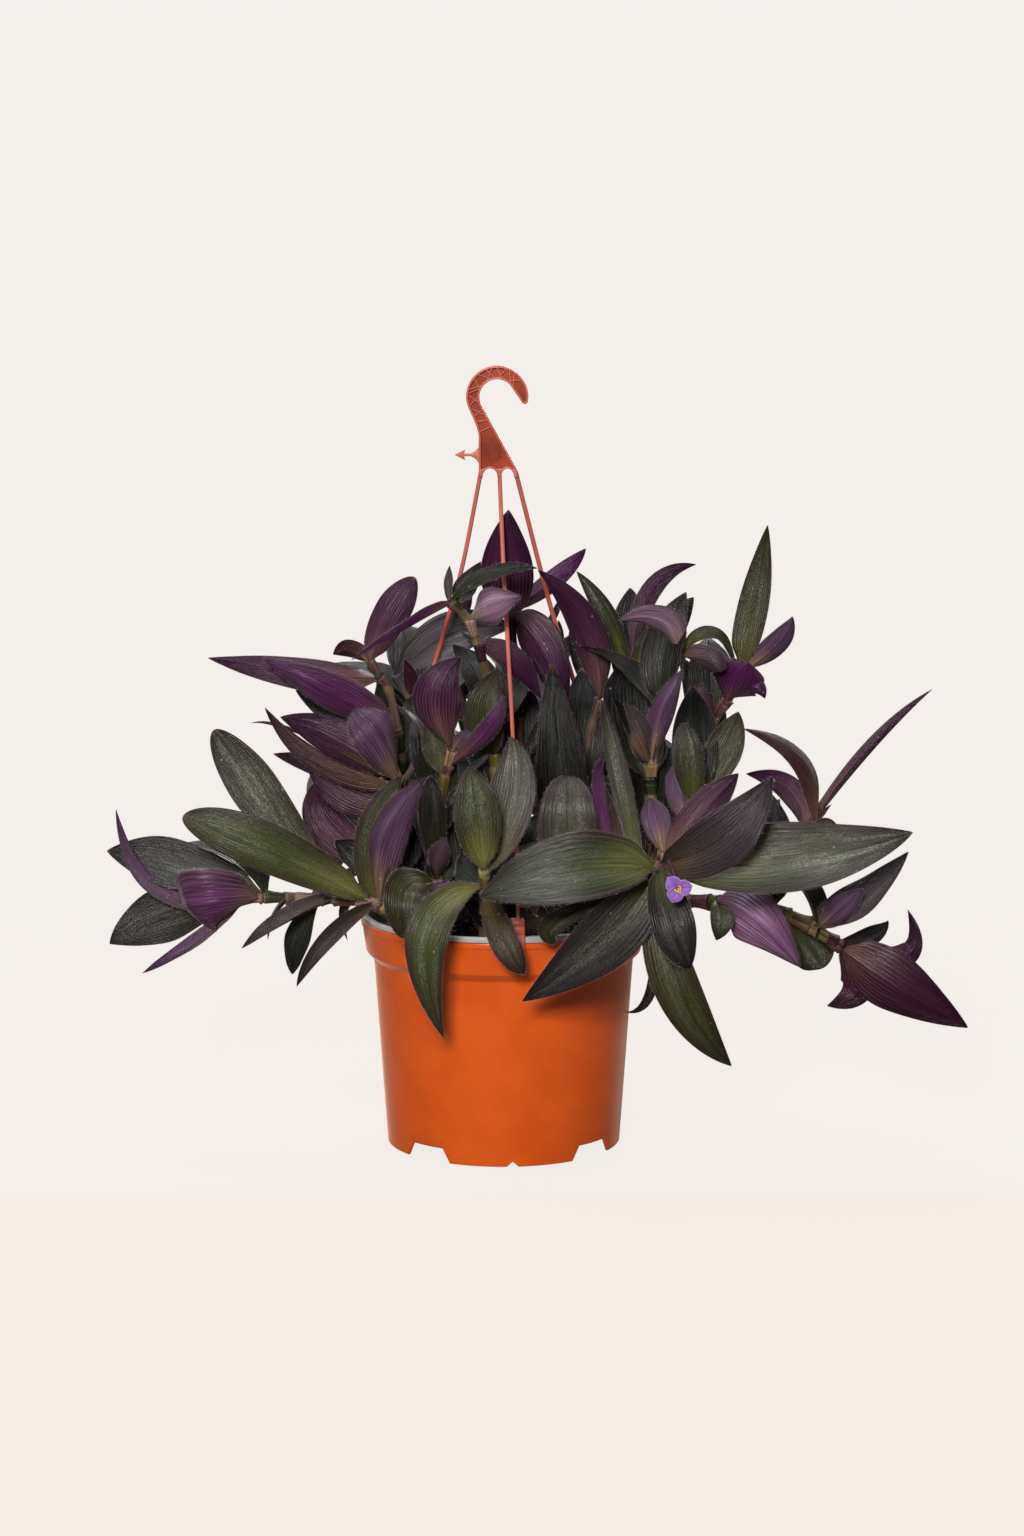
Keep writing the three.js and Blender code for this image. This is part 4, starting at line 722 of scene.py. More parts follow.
def moulded_plastic_group():
    """Moulded plastic: cloudy pigment, a fine grain, faint scuffs and dust."""
    group, given, result = node_group(
        "Moulded plastic", "ShaderNodeTree",
        [("Pigment", COLOUR, (200, 80, 40)), ("Cloud", COLOUR, (180, 70, 36)),
         ("Scuff", COLOUR, (220, 150, 120)), ("Roughness", FLOAT, 0.4), ("Grain", FLOAT, 0.0006)],
        [("Colour", COLOUR), ("Roughness", FLOAT), ("Height", FLOAT)])
    place = own_place(group)
    cloud = noise(group, place, 38.0, 4.0)
    grain = noise(group, place, calc(group, "DIVIDE", 1.0, given.outputs["Grain"]), 1.0)
    lines = noise(group, scaled(group, place, (90.0, 90.0, 900.0)), 1.0, 3.0, 0.7)
    scuffs = ramp(group, lines, 0.66, 0.78)
    specks = ramp(group, grain, 0.7, 0.78)
    colour = blend(group, ramp(group, cloud, 0.35, 0.7), given.outputs["Pigment"], given.outputs["Cloud"])
    marked = calc(group, "MAXIMUM", times(group, scuffs, 0.09), times(group, specks, 0.05))
    rough = calc(group, "MULTIPLY_ADD", grain, 0.08, given.outputs["Roughness"])
    feed(group, result.inputs["Colour"], blend(group, marked, colour, given.outputs["Scuff"]))
    feed(group, result.inputs["Roughness"], calc(group, "MULTIPLY_ADD", scuffs, 0.1, rough))
    feed(group, result.inputs["Height"], calc(group, "MULTIPLY_ADD", lines, 0.6, grain))
    return group


VEINS = parallel_veins_group()
FLECKS = flecks_group()
PLASTIC = moulded_plastic_group()


# ---- materials ------------------------------------------------------------------------------


def leaf_material():
    """A blade: its tone with parallel veins, silver above that is partly its own mottling and partly painted
    sheen, and dew specks.
    """
    material, tree, shader = new_material("leaf_blade", Specular_IOR_Level=0.3)
    tone = attribute(tree, "tone")
    side = attribute(tree, "upper").outputs["Fac"]
    root = attribute(tree, "root").outputs["Fac"]
    blade = attribute(tree, "blade").outputs["Vector"]
    veins = placed_group(tree, VEINS, {"Blade": blade, "Veins": 15.0})
    streaks, bands = veins.outputs["Streaks"], veins.outputs["Bands"]
    flecks = placed_group(tree, FLECKS, {"Mottle size": 0.001, "Speck spacing": 0.009})
    mottle = flecks.outputs["Mottle"]
    own = tone.outputs["Color"]
    streaked = blend(tree, times(tree, streaks, 0.75), own, dyed(tree, own, (150, 134, 148)))
    gaps = times(tree, calc(tree, "MULTIPLY_ADD", mottle, -1.0, 1.0),
                 calc(tree, "MULTIPLY_ADD", side, 0.22, 0.1))
    shade = blend(tree, gaps, streaked, dyed(tree, streaked, (120, 120, 120)))
    tint = blend(tree, side, (214, 168, 206), (206, 184, 184))
    banded = blend(tree, times(tree, bands, 0.7), shade, dyed(tree, shade, tint))
    pale = blend(tree, side, (184, 152, 128), (146, 150, 96))
    strength = times(tree, root, calc(tree, "MULTIPLY_ADD", side, -0.25, 0.5))
    lined = blend(tree, times(tree, veins.outputs["Lines"], strength), banded, blend(tree, 0.5, own, pale))
    # Silver on the upper side: partly the leaf's own mottling and partly a painted sheen, by the tone's
    # alpha.
    silver = times(tree, times(tree, tone.outputs["Alpha"], side),
                   calc(tree, "MULTIPLY_ADD", calc(tree, "POWER", bands, 1.4), 0.8, 0.1))
    grain = calc(tree, "MULTIPLY_ADD", mottle, 0.75, times(tree, streaks, 0.25))
    mottle_and_sheen = blend(tree, times(tree, silver, grain), lined, (160, 164, 150))
    specked = blend(tree, times(tree, flecks.outputs["Specks"], 0.4), mottle_and_sheen, (196, 196, 190))
    height = calc(tree, "MULTIPLY_ADD", mottle, 0.3, veins.outputs["Height"])
    surfaced(tree, shader, specked, calc(tree, "MULTIPLY_ADD", streaks, 0.16, 0.24),
             (0.9, 0.00025, height))
    return material


def stem_material():
    """A stem's skin: its tone with streaks along it and a few darker freckles."""
    material, tree, shader = new_material("stem_skin", Specular_IOR_Level=0.45, Subsurface_Weight=0.08,
                                          Subsurface_Scale=0.002, Subsurface_Radius=(1.0, 0.6, 0.4))
    own = attribute(tree, "tone").outputs["Color"]
    blade = attribute(tree, "blade").outputs["Vector"]
    veins = placed_group(tree, VEINS, {"Blade": blade, "Veins": 7.0})
    flecks = placed_group(tree, FLECKS, {"Mottle size": 0.0012, "Speck spacing": 0.003})
    streaked = blend(tree, times(tree, veins.outputs["Streaks"], 0.5), own, dyed(tree, own, (178, 146, 160)))
    freckled = blend(tree, times(tree, flecks.outputs["Specks"], 0.5), streaked, (84, 52, 68))
    surfaced(tree, shader, freckled, calc(tree, "MULTIPLY_ADD", flecks.outputs["Mottle"], 0.15, 0.4),
             (0.5, 0.0002, veins.outputs["Height"]))
    return material


def hair_material():
    """Fine pale hairs, a little darker in places."""
    material, tree, shader = new_material("leaf_hair", Roughness=0.5)
    surfaced(tree, shader, blend(tree, noise(tree, own_place(tree), 60.0), (206, 192, 200), (176, 150, 170)))
    return material


def plastic_material(name, pigment, cloud, scuff, roughness, grain, bump, **fixed):
    """Moulded plastic in the pot's, the lip's or the hanger's colours, or the hanger's made darker as
    painted shade for its recess.
    """
    material, tree, shader = new_material(name, **fixed)
    plastic = placed_group(tree, PLASTIC, {"Pigment": pigment, "Cloud": cloud, "Scuff": scuff,
                                           "Roughness": roughness, "Grain": grain})
    surfaced(tree, shader, plastic.outputs["Colour"], plastic.outputs["Roughness"],
             (bump, 0.0001, plastic.outputs["Height"]))
    return material


def soil_material():
    """Dark peat with lighter fibres."""
    material, tree, shader = new_material("peat", Roughness=0.95)
    place = own_place(tree)
    lumps = noise(tree, place, 420.0, 5.0)
    fibres = noise(tree, scaled(tree, place, (300.0, 1500.0, 700.0)))
    peat = blend(tree, lumps, (24, 17, 13), (72, 54, 40))
    fibrous = blend(tree, ramp(tree, fibres, 0.62, 0.72), peat, (112, 84, 58))
    surfaced(tree, shader, fibrous, relief=(0.9, 0.001, lumps))
    return material


def perlite_material():
    """White expanded grains with pits."""
    material, tree, shader = new_material("perlite", Roughness=0.85)
    pits = noise(tree, own_place(tree), 1500.0, 3.0)
    surfaced(tree, shader, blend(tree, pits, (176, 170, 158), (222, 218, 208)), relief=(0.8, 0.0004, pits))
    return material


def petal_material():
    """Lilac petals, deeper towards the heart, with fine veins."""
    material, tree, shader = new_material("petal", Specular_IOR_Level=0.3, Subsurface_Weight=0.2,
                                          Subsurface_Scale=0.002, Sheen_Weight=0.2)
    own = attribute(tree, "tone").outputs["Color"]
    blade = attribute(tree, "blade").outputs["Vector"]
    veins = placed_group(tree, VEINS, {"Blade": blade, "Veins": 8.0})
    veined = blend(tree, veins.outputs["Streaks"], own, dyed(tree, own, (206, 170, 232)))
    surfaced(tree, shader, veined, calc(tree, "MULTIPLY_ADD", veins.outputs["Bands"], 0.1, 0.55),
             (0.6, 0.0001, veins.outputs["Height"]))
    return material


def pollen_material():
    """Yellow anthers, grainy with pollen."""
    material, tree, shader = new_material("pollen", Roughness=0.8)
    grains = noise(tree, own_place(tree), 4000.0)
    surfaced(tree, shader, blend(tree, grains, (214, 150, 22), (248, 214, 70)), relief=(0.8, 0.0001, grains))
    return material


LEAF_BLADE = leaf_material()
STEM_SKIN = stem_material()
LEAF_HAIR = hair_material()
POT_PLASTIC = plastic_material("orange_plastic", (226, 94, 26), (216, 86, 24), (232, 150, 112), 0.18, 0.0007,
                               0.1, Specular_IOR_Level=0.5, Sheen_Weight=0.7, Sheen_Roughness=0.3,
                               Sheen_Tint=(255, 206, 176))
LIP_PLASTIC = plastic_material("pale_grey_plastic", (186, 182, 182), (170, 166, 166), (214, 210, 208), 0.45,
                               0.0006, 0.2)
HANGER_PLASTIC = plastic_material("terracotta_plastic", (196, 104, 86), (184, 90, 72), (226, 160, 140), 0.34,
                                  0.0006, 0.03, Specular_IOR_Level=0.4)
# A darker copy of the hanger's plastic for its recess: painted shade.
RECESS_SHADE_PLASTIC = plastic_material("terracotta_recess_painted_shade", (166, 70, 38), (120, 44, 24), (186, 100, 74), 0.5,
                                  0.0006, 0.03, Specular_IOR_Level=0.15)
PEAT = soil_material()
PERLITE = perlite_material()
PETAL_SKIN = petal_material()
POLLEN = pollen_material()


# ---- geometry trees -------------------------------------------------------------------------


def rod_tree():
    """Turns a line with a radius at each point into a round rod with closed ends.

    It leaves the length along the rod, in centimetres, and the way round it, from -1 to 1."""
    tree, given, result = node_group(
        "Round rod", "GeometryNodeTree",
        [("Line", GEOMETRY, None), ("Sides", WHOLE, 14), ("Material", MATERIAL, None)],
        [("Rod", GEOMETRY)])
    curve = node(tree, "GeometryNodeMeshToCurve", {"Mesh": given.outputs["Line"]})
    radius = node(tree, "GeometryNodeInputNamedAttribute", {"Name": "radius"}, data_type="FLOAT")
    length = times(tree, node(tree, "GeometryNodeSplineParameter").outputs["Length"], 100.0)
    named = node(tree, "GeometryNodeStoreNamedAttribute", {"Geometry": curve, "Name": "along",
                                                           "Value": length}, domain="POINT")
    section = node(tree, "GeometryNodeCurvePrimitiveCircle", {"Resolution": given.outputs["Sides"],
                                                              "Radius": 1.0})
    turn = calc(tree, "MULTIPLY_ADD", node(tree, "GeometryNodeSplineParameter").outputs["Factor"], 2.0, -1.0)
    rounded = node(tree, "GeometryNodeStoreNamedAttribute", {"Geometry": section, "Name": "around",
                                                             "Value": turn}, domain="POINT")
    rod = node(tree, "GeometryNodeCurveToMesh", {"Curve": named, "Profile Curve": rounded,
                                                 "Scale": radius, "Fill Caps": True})
    smooth = node(tree, "GeometryNodeSetShadeSmooth", {"Geometry": rod})
    return closed_tree(tree, given, result, smooth)


def hair_tree():
    """Stands fine cone hairs along lines, out along each point's own direction."""
    tree, given, result = node_group(
        "Margin hairs", "GeometryNodeTree",
        [("Lines", GEOMETRY, None), ("Spacing", FLOAT, 0.0016), ("Length", FLOAT, 0.0012),
         ("Root radius", FLOAT, 0.00006), ("Seed", WHOLE, 5), ("Material", MATERIAL, None)],
        [("Hairs", GEOMETRY)])
    curve = node(tree, "GeometryNodeMeshToCurve", {"Mesh": given.outputs["Lines"]})
    spaced = node(tree, "GeometryNodeResampleCurve", {"Curve": curve, "Length": given.outputs["Spacing"]},
                  mode="LENGTH")
    outward = node(tree, "GeometryNodeInputNamedAttribute", {"Name": "outward"}, data_type="FLOAT_VECTOR")
    seed = given.outputs["Seed"]
    lean = node(tree, "FunctionNodeRandomValue", {0: (-0.5, -0.5, -0.5), 1: (0.5, 0.5, 0.5), "Seed": seed},
                data_type="FLOAT_VECTOR")
    leaning = node(tree, "ShaderNodeVectorMath", {0: outward.outputs["Attribute"], 1: lean}, operation="ADD")
    turned = node(tree, "FunctionNodeAlignRotationToVector", {"Vector": leaning}, axis="Z")
    size = node(tree, "FunctionNodeRandomValue", {2: 0.5, 3: 1.2, "Seed": seed}, data_type="FLOAT")
    hair = node(tree, "GeometryNodeMeshCone", {
        "Vertices": 3, "Radius Top": 0.0, "Radius Bottom": given.outputs["Root radius"],
        "Depth": given.outputs["Length"]})
    stood = node(tree, "GeometryNodeInstanceOnPoints", {"Points": spaced, "Instance": hair,
                                                        "Rotation": turned, "Scale": size})
    return closed_tree(tree, given, result, stood)


def crumb_tree():
    """Scatters lumpy crumbs over a surface."""
    tree, given, result = node_group(
        "Crumbs", "GeometryNodeTree",
        [("Surface", GEOMETRY, None), ("Number per square metre", FLOAT, 100000.0),
         ("Crumb radius", FLOAT, 0.001), ("Seed", WHOLE, 3), ("Material", MATERIAL, None)],
        [("Crumbs", GEOMETRY)])
    seed = given.outputs["Seed"]
    points = node(tree, "GeometryNodeDistributePointsOnFaces", {
        "Mesh": given.outputs["Surface"], "Density": given.outputs["Number per square metre"],
        "Seed": seed})
    crumb = node(tree, "GeometryNodeMeshIcoSphere", {"Radius": given.outputs["Crumb radius"],
                                                     "Subdivisions": 1})
    size = node(tree, "FunctionNodeRandomValue", {0: (0.5, 0.4, 0.3), 1: (1.6, 1.2, 0.9), "Seed": seed},
                data_type="FLOAT_VECTOR")
    spin = node(tree, "FunctionNodeRandomValue", {0: (-0.6, -0.6, 0.0), 1: (0.6, 0.6, 6.2), "Seed": seed},
                data_type="FLOAT_VECTOR")
    stood = node(tree, "GeometryNodeInstanceOnPoints", {"Points": points, "Instance": crumb,
                                                        "Rotation": spin, "Scale": size})
    whole = node(tree, "GeometryNodeRealizeInstances", {"Geometry": stood})
    lumps = noise(tree, node(tree, "GeometryNodeInputPosition"), 900.0)
    centred = node(tree, "ShaderNodeVectorMath", {0: lumps.outputs["Color"], 1: (0.5, 0.5, 0.5)},
                   operation="SUBTRACT")
    push = node(tree, "ShaderNodeVectorMath", {0: centred, "Scale": given.outputs["Crumb radius"]},
                operation="SCALE")
    lumpy = node(tree, "GeometryNodeSetPosition", {"Geometry": whole, "Offset": push})
    return closed_tree(tree, given, result, lumpy)


def bar_tree():
    """Turns lines into bars of a rounded rectangular section that keeps its upright side."""
    tree, given, result = node_group(
        "Moulded bars", "GeometryNodeTree",
        [("Lines", GEOMETRY, None), ("Width", FLOAT, 0.001), ("Depth", FLOAT, 0.001),
         ("Corner", FLOAT, 0.0002), ("Material", MATERIAL, None)],
        [("Bars", GEOMETRY)])
    curve = node(tree, "GeometryNodeMeshToCurve", {"Mesh": given.outputs["Lines"]})
    upright = node(tree, "GeometryNodeSetCurveNormal", {"Curve": curve}, mode="Z_UP")
    section = node(tree, "GeometryNodeCurvePrimitiveQuadrilateral", {
        "Width": given.outputs["Depth"], "Height": given.outputs["Width"]}, mode="RECTANGLE")
    eased = node(tree, "GeometryNodeFilletCurve", {"Curve": section, "Radius": given.outputs["Corner"]},
                 mode="BEZIER")
    stepped = node(tree, "GeometryNodeResampleCurve", {"Curve": eased, "Count": 24}, mode="COUNT")
    bars = node(tree, "GeometryNodeCurveToMesh", {"Curve": upright, "Profile Curve": stepped,
                                                  "Fill Caps": True})
    return closed_tree(tree, given, result, bars)


ROD = rod_tree()
HAIRS = hair_tree()
CRUMBS = crumb_tree()
BARS = bar_tree()


def line_object(name, lines, **attributes):
    """A mesh of open lines, with values on its points, for a geometry tree to build on."""
    points = [p for line in lines for p in line]
    edges, start = [], 0
    for line in lines:
        edges += [(start + i, start + i + 1) for i in range(len(line) - 1)]
        start += len(line)
    mesh = bpy.data.meshes.new(name)
    mesh.from_pydata([tuple(np.asarray(p, float) * MM) for p in points], edges, [])
    for key, values in attributes.items():
        values = np.asarray(values, np.float32)
        kind, field = ("FLOAT_VECTOR", "vector") if values.ndim == 2 else ("FLOAT", "value")
        mesh.attributes.new(key, kind, "POINT").data.foreach_set(field, values.ravel())
    piece = bpy.data.objects.new(name, mesh)
    bpy.context.scene.collection.objects.link(piece)
    return piece


# ---- leaves and stems -----------------------------------------------------------------------

BLADE_THICK = 0.9
MARGIN_THICK = 0.3
# A blade is ROOT_WIDTH wide where it clasps its stem, and has its own width from SPREAD_BY on.
ROOT_WIDTH = 4.4
SPREAD_BY = 0.16
CLASP_FOLD = 1.0
CURL = 1.35
RIPPLE = 0.05
RIB_GROOVE = {"deep": 0.36, "wide": 0.07}
DRY_TIP = (128, 102, 74)
DRY_SHARE = 0.45
# Places along a blade, and across it from margin to margin, where its mesh has points.
STATIONS = 34
ACROSS = np.array([-1, -0.96, -0.88, -0.72, -0.55, -0.36, -0.18, -0.08, -0.03, 0.03, 0.08, 0.18, 0.36, 0.55,
                   0.72, 0.88, 0.96, 1])
HAIR = {"Spacing": 0.0012, "Length": 0.0014, "Root radius": 0.00008, "Seed": 5}
SHEATH = {"long": 11.0, "shortest": 2, "steps": 6, "flare": 0.4}
# A stem bends round each joint within JOINT_REACH of it, and swells there.
JOINT_REACH = 7.0
JOINT_SWELL = 0.16


class Skin:
    """Gathers the points, faces and surface values of one stem's leaves and rods."""

    def __init__(self):
        self.points, self.faces, self.material = [], [], []
        self.tone, self.upper, self.blade, self.root = [], [], [], []
        self.count = 0

    def add(self, points, faces, tone, upper, blade, root, material):
        """Adds a closed shape, with a value for each of its points and a number for its material."""
        self.points.append(points)
        self.faces += [tuple(i + self.count for i in face) for face in faces]
        self.tone.append(tone)
        self.upper.append(upper)
        self.blade.append(blade)
        self.root.append(root)
        self.material += [material] * len(faces)
        self.count += len(points)

    def piece(self, name):
        """Everything gathered, as one mesh with its values as attributes."""
        made = mesh_object(name, np.concatenate(self.points), self.faces)
        mesh = made.data
        mesh.polygons.foreach_set("material_index", self.material)
        tone = mesh.color_attributes.new("tone", "FLOAT_COLOR", "POINT")
        tone.data.foreach_set("color", np.concatenate(self.tone).astype(np.float32).ravel())
        for key, values in (("upper", self.upper), ("root", self.root)):
            data = mesh.attributes.new(key, "FLOAT", "POINT").data
            data.foreach_set("value", np.concatenate(values).astype(np.float32))
        blade = mesh.attributes.new("blade", "FLOAT_VECTOR", "POINT")
        blade.data.foreach_set("vector", np.concatenate(self.blade).astype(np.float32).ravel())
        return made


def stem_point(stem, at):
    """The point on a stem that a leaf's place on it names."""
    low = min(int(at), len(stem) - 2)
    return Vector(stem[low]).lerp(Vector(stem[low + 1]), at - low)


def outline_width(t, form):
    """The blade's width at t, against its greatest width: a sine swell, then a rounded taper."""
    if t < form.peak:
        return form.base + (1 - form.base) * math.sin(math.pi / 2 * t / form.peak) ** 0.9
    return max(math.cos(math.pi / 2 * (t - form.peak) / (1 - form.peak)), 0) ** form.tip_round


def frames_along(stem, each):
    """Places along a leaf's rib, closer towards its tip, with the directions along, to its side and
    up, at each."""
    base = stem_point(stem, each.at)
    mid, tip = Vector(each.mid), Vector(each.tip)
    control = mid * 2 - (base + tip) * 0.5

    def tangent(t):
        return ((control - base) * (1 - t) + (tip - control) * t).normalized()

    along = tangent(0.5)
    up = Vector(each.face)
    up = (up - along * up.dot(along)).normalized()
    rows = []
    for i in range(STATIONS + 1):
        t = 1 - (1 - i / STATIONS) ** 1.5
        place = base * (1 - t) ** 2 + control * (2 * t * (1 - t)) + tip * t * t
        direction = tangent(t)
        normal = along.rotation_difference(direction) @ up
        rows.append((t, place, direction, direction.cross(normal), normal))
    return rows


def blade_surface(stem, each, rng, ripple):
    """The middle surface of a leaf, as rows of points across it, with its rib, the half width of
    each row and its length."""
    rows = frames_along(stem, each)
    length = sum((rows[i + 1][1] - rows[i][1]).length for i in range(STATIONS))
    waves, phase = rng.uniform(1.2, 2.4), rng.uniform(0, 6.28)
    lean = rng.uniform(-0.1, 0.1)
    form = each.form
    surface, widths = [], []
    for t, place, _, side, normal in rows:
        full = each.wide * outline_width(t, form)
        half = (ROOT_WIDTH + (full - ROOT_WIDTH) * float(smooth_step(t, 0, SPREAD_BY))) / 2
        half = min(half, full / 2 + 1e-3) if t > 0.9 else half
        fold = form.fold + (CLASP_FOLD - form.fold) * (1 - t) ** 4
        row = []
        for s in ACROSS:
            bend = fold + lean * s * (1 - t)
            wave = ripple * math.sin(6.28 * waves * t + phase + (1.7 if s > 0 else 0)) * abs(s) ** 3
            wave *= min(1, 6 * t * (1 - t)) * (1 - t * form.lip * 6)
            reach = half * math.cos(bend) * s
            lift = half * (math.sin(bend) * abs(s) ** CURL + wave)
            row.append(place + side * reach + normal * lift)
        surface.append(row)
        widths.append(half)
    return rows, np.array(surface, float), np.array(widths), length


def grid_normals(surface):
    """Normals of a grid of points, on the side that a blade's upper face looks to."""
    along = np.gradient(surface, axis=0)
    across = np.gradient(surface, axis=1)
    normals = np.cross(across, along)
    size = np.linalg.norm(normals, axis=2, keepdims=True)
    for i in range(len(normals)):
        if size[i].min() < 1e-9:
            normals[i], size[i] = normals[i - 1], size[i - 1]
    return normals / size


def ring_faces(rings, ring):
    """Faces of a closed tube of rings that ends in one point, with its first ring capped."""
    faces = []
    for i in range(rings - 1):
        for j in range(ring):
            k = (j + 1) % ring
            faces.append((i * ring + j, i * ring + k, (i + 1) * ring + k, (i + 1) * ring + j))
    last = (rings - 1) * ring
    faces += [(last + j, last + (j + 1) % ring, rings * ring) for j in range(ring)]
    half = ring // 2
    faces += [(j, (ring - j) % ring, ring - j - 1, j + 1) for j in range(1, half - 1)]
    faces += [(0, ring - 1, 1), (half - 1, half + 1, half)]
    return faces


def toned(tone, each, across, t, rng):
    """The colours of one side of a blade: its base, its middle, its margins and its tip."""
    shift = 1 + rng.uniform(-0.12, 0.08)
    main, base, margin = (to_linear(c) for c in (tone, each.tone.base, each.tone.margin))
    s = np.abs(across)[None, :, None]
    t = t[:, None, None]
    outer = np.clip(0.7 * smooth_step(s, 0.35, 1) + 0.45 * smooth_step(t, 0.5, 1), 0, 1)
    colour = main * shift * (1 - 0.38 * smooth_step(s, 0.3, 0.95)) * (1 - 0.2 * smooth_step(t, 0.6, 1))
    colour = colour * (1 - outer * 0.45) + margin * 0.7 * outer * 0.45
    near_root = 1 - smooth_step(t + 0.2 * s, 0.03, 0.5)
    colour = colour * (1 - near_root) + base * near_root
    # Painted shade: the colour is darker along the rib's groove, away from the root.
    colour = colour * (1 - 0.3 * np.exp(-(s / 0.05) ** 2) * (1 - near_root))
    edge = np.maximum(smooth_step(s, 0.94, 0.99), smooth_step(t, 1 - each.form.lip, 1 - each.form.lip / 2))
    colour = colour * (1 - edge) + margin * edge
    dry = smooth_step(t, 0.965, 0.985) * (0.8 if rng.random() < DRY_SHARE and not each.form.lip else 0.0)
    return colour * (1 - dry) + to_linear(DRY_TIP) * dry


def silver_and_sheen(each, across, t, rng):
    """How much silver is laid over a blade: its own mottling all over, and a painted sheen in two bands
    beside its rib; least at its root.
    """
    beside = np.exp(-((np.abs(across) - rng.uniform(0.15, 0.4)) / 0.3) ** 2)[None, :]
    part = rng.uniform(0.45, 0.7)
    along = np.exp(-((t - part) / 0.3) ** 2)[:, None]
    return each.tone.silver * (0.25 + 0.9 * beside * along)


def add_blade(skin, stem, each, rng, hair_lines=None, ripple=RIPPLE, thick=BLADE_THICK):
    """One leaf: an upper and an under skin that meet at its margins, its root and its tip."""
    rows, surface, widths, length = blade_surface(stem, each, rng, ripple)
    count, wide = surface.shape[0] - 1, surface.shape[1]
    surface, widths = surface[:count], widths[:count]
    t = np.array([row[0] for row in rows[:count]])
    normals = grid_normals(surface)
    s = ACROSS
    spread = np.minimum(1, widths / 3)[:, None]
    half = (MARGIN_THICK + (thick - MARGIN_THICK) * (1 - np.abs(s) ** 1.6)) / 2
    half = half[None, :] * spread
    half[:, [0, -1]] = 0
    groove = RIB_GROOVE["deep"] * np.exp(-(s / RIB_GROOVE["wide"]) ** 2)[None, :] * spread
    above = surface + normals * (half - groove)[:, :, None]
    below = surface - normals * (half + groove)[:, :, None]
    ring = np.concatenate([above, below[:, -2:0:-1]], axis=1)
    seed = rng.uniform(0, 40)
    tone_above = toned(each.tone.upper, each, s, t, rng)
    tone_below = toned(each.tone.under, each, s, t, rng)
    tone = np.concatenate([tone_above, tone_below[:, -2:0:-1]], axis=1)
    upper = np.concatenate([np.ones(wide), np.zeros(wide - 2)])
    upper = np.repeat(upper[None, :], count, axis=0)
    upper[:, [0, wide - 1]] = 0.5
    s_ring = np.concatenate([s, s[-2:0:-1]])
    blade = np.zeros((count, len(s_ring), 3))
    blade[:, :, 0] = s_ring
    blade[:, :, 1] = (t * length / 10)[:, None]
    blade[:, :, 2] = seed
    tip = np.array(rows[-1][1])
    points = np.concatenate([ring.reshape(-1, 3), tip[None, :]])
    silver = silver_and_sheen(each, s_ring, t, rng).reshape(-1, 1)
    tones = np.concatenate([tone.reshape(-1, 3), silver], axis=1)
    tones = np.concatenate([tones, [[*(tones[-1, :3] * 0.8), 0]]])
    uppers = np.append(upper.ravel(), 0.5)
    blades = np.concatenate([blade.reshape(-1, 3), [[0, length / 10, seed]]])
    roots = np.append(np.repeat(1 - smooth_step(t, 0.05, 0.75), len(s_ring)), 0)
    skin.add(points, ring_faces(count, len(s_ring)), tones, uppers, blades, roots, 0)
    if hair_lines is not None:
        for j, sign in ((0, -1), (wide - 1, 1)):
            sides = np.array([row[3] for row in rows[:count]], float) * sign
            ups = np.array([row[4] for row in rows[:count]], float)
            hair_lines.append((surface[:, j], sides + ups * 0.4))
    return rows


def smooth_line(joints, radii, swell=JOINT_SWELL):
    """A stem's line: straight between joints, bent round each, and swollen a little there."""
    joints = [Vector(j) for j in joints]
    line, sizes, marks = [], [], []
    for i, joint in enumerate(joints):
        if i in (0, len(joints) - 1):
            line.append(joint)
            sizes.append(radii[i])
            marks.append(0.0)
            continue
        back, ahead = joints[i - 1] - joint, joints[i + 1] - joint
        reach = min(JOINT_REACH, back.length * 0.4, ahead.length * 0.4)
        start, end = joint + back.normalized() * reach, joint + ahead.normalized() * reach
        for k in range(9):
            f = k / 8
            point = start * (1 - f) ** 2 + joint * (2 * f * (1 - f)) + end * f * f
            near = math.exp(-((f - 0.5) / 0.22) ** 2)
            line.append(point)
            sizes.append(radii[i] * (1 + swell * near))
            marks.append(near)
    return line, sizes, marks


def filled_line(line, sizes, marks, step=5.0):
    """More points on the straight stretches of a stem's line."""
    out = [(line[0], sizes[0], marks[0])]
    for i in range(1, len(line)):
        gap = (line[i] - line[i - 1]).length
        for k in range(1, max(int(gap / step), 1) + 1):
            f = k / max(int(gap / step), 1)
            out.append((line[i - 1].lerp(line[i], f), sizes[i - 1] + (sizes[i] - sizes[i - 1]) * f,
                        marks[i - 1] + (marks[i] - marks[i - 1]) * f))
    return [list(column) for column in zip(*out)]


def add_rod(skin, line, sizes, tones, sides=14, seed=0.0):
    """A rod made by the rod tree, added to a stem's skin with its tones."""
    made = line_object("rod", [line], radius=np.array(sizes) * MM)
    made = with_tree(made, ROD, {"Sides": sides, "Material": STEM_SKIN})
    mesh = made.data
    points = np.zeros(len(mesh.vertices) * 3)
    mesh.vertices.foreach_get("co", points)
    points = points.reshape(-1, 3) / MM
    along, around = np.zeros(len(points), np.float32), np.zeros(len(points), np.float32)
    mesh.attributes["along"].data.foreach_get("value", along)
    mesh.attributes["around"].data.foreach_get("value", around)
    steps = np.concatenate([[0], np.cumsum([(b - a).length for a, b in zip(line, line[1:])])]) / 10
    tone = np.stack([np.interp(along, steps, np.array(tones)[:, c]) for c in range(3)], axis=1)
    tone = np.concatenate([tone, np.zeros((len(points), 1))], axis=1)
    blade = np.stack([around, along, np.full(len(points), seed)], axis=1)
    faces = [tuple(p.vertices) for p in mesh.polygons]
    skin.add(points, faces, tone, np.zeros(len(points)), blade, np.zeros(len(points)), 1)
    bpy.data.objects.remove(made)


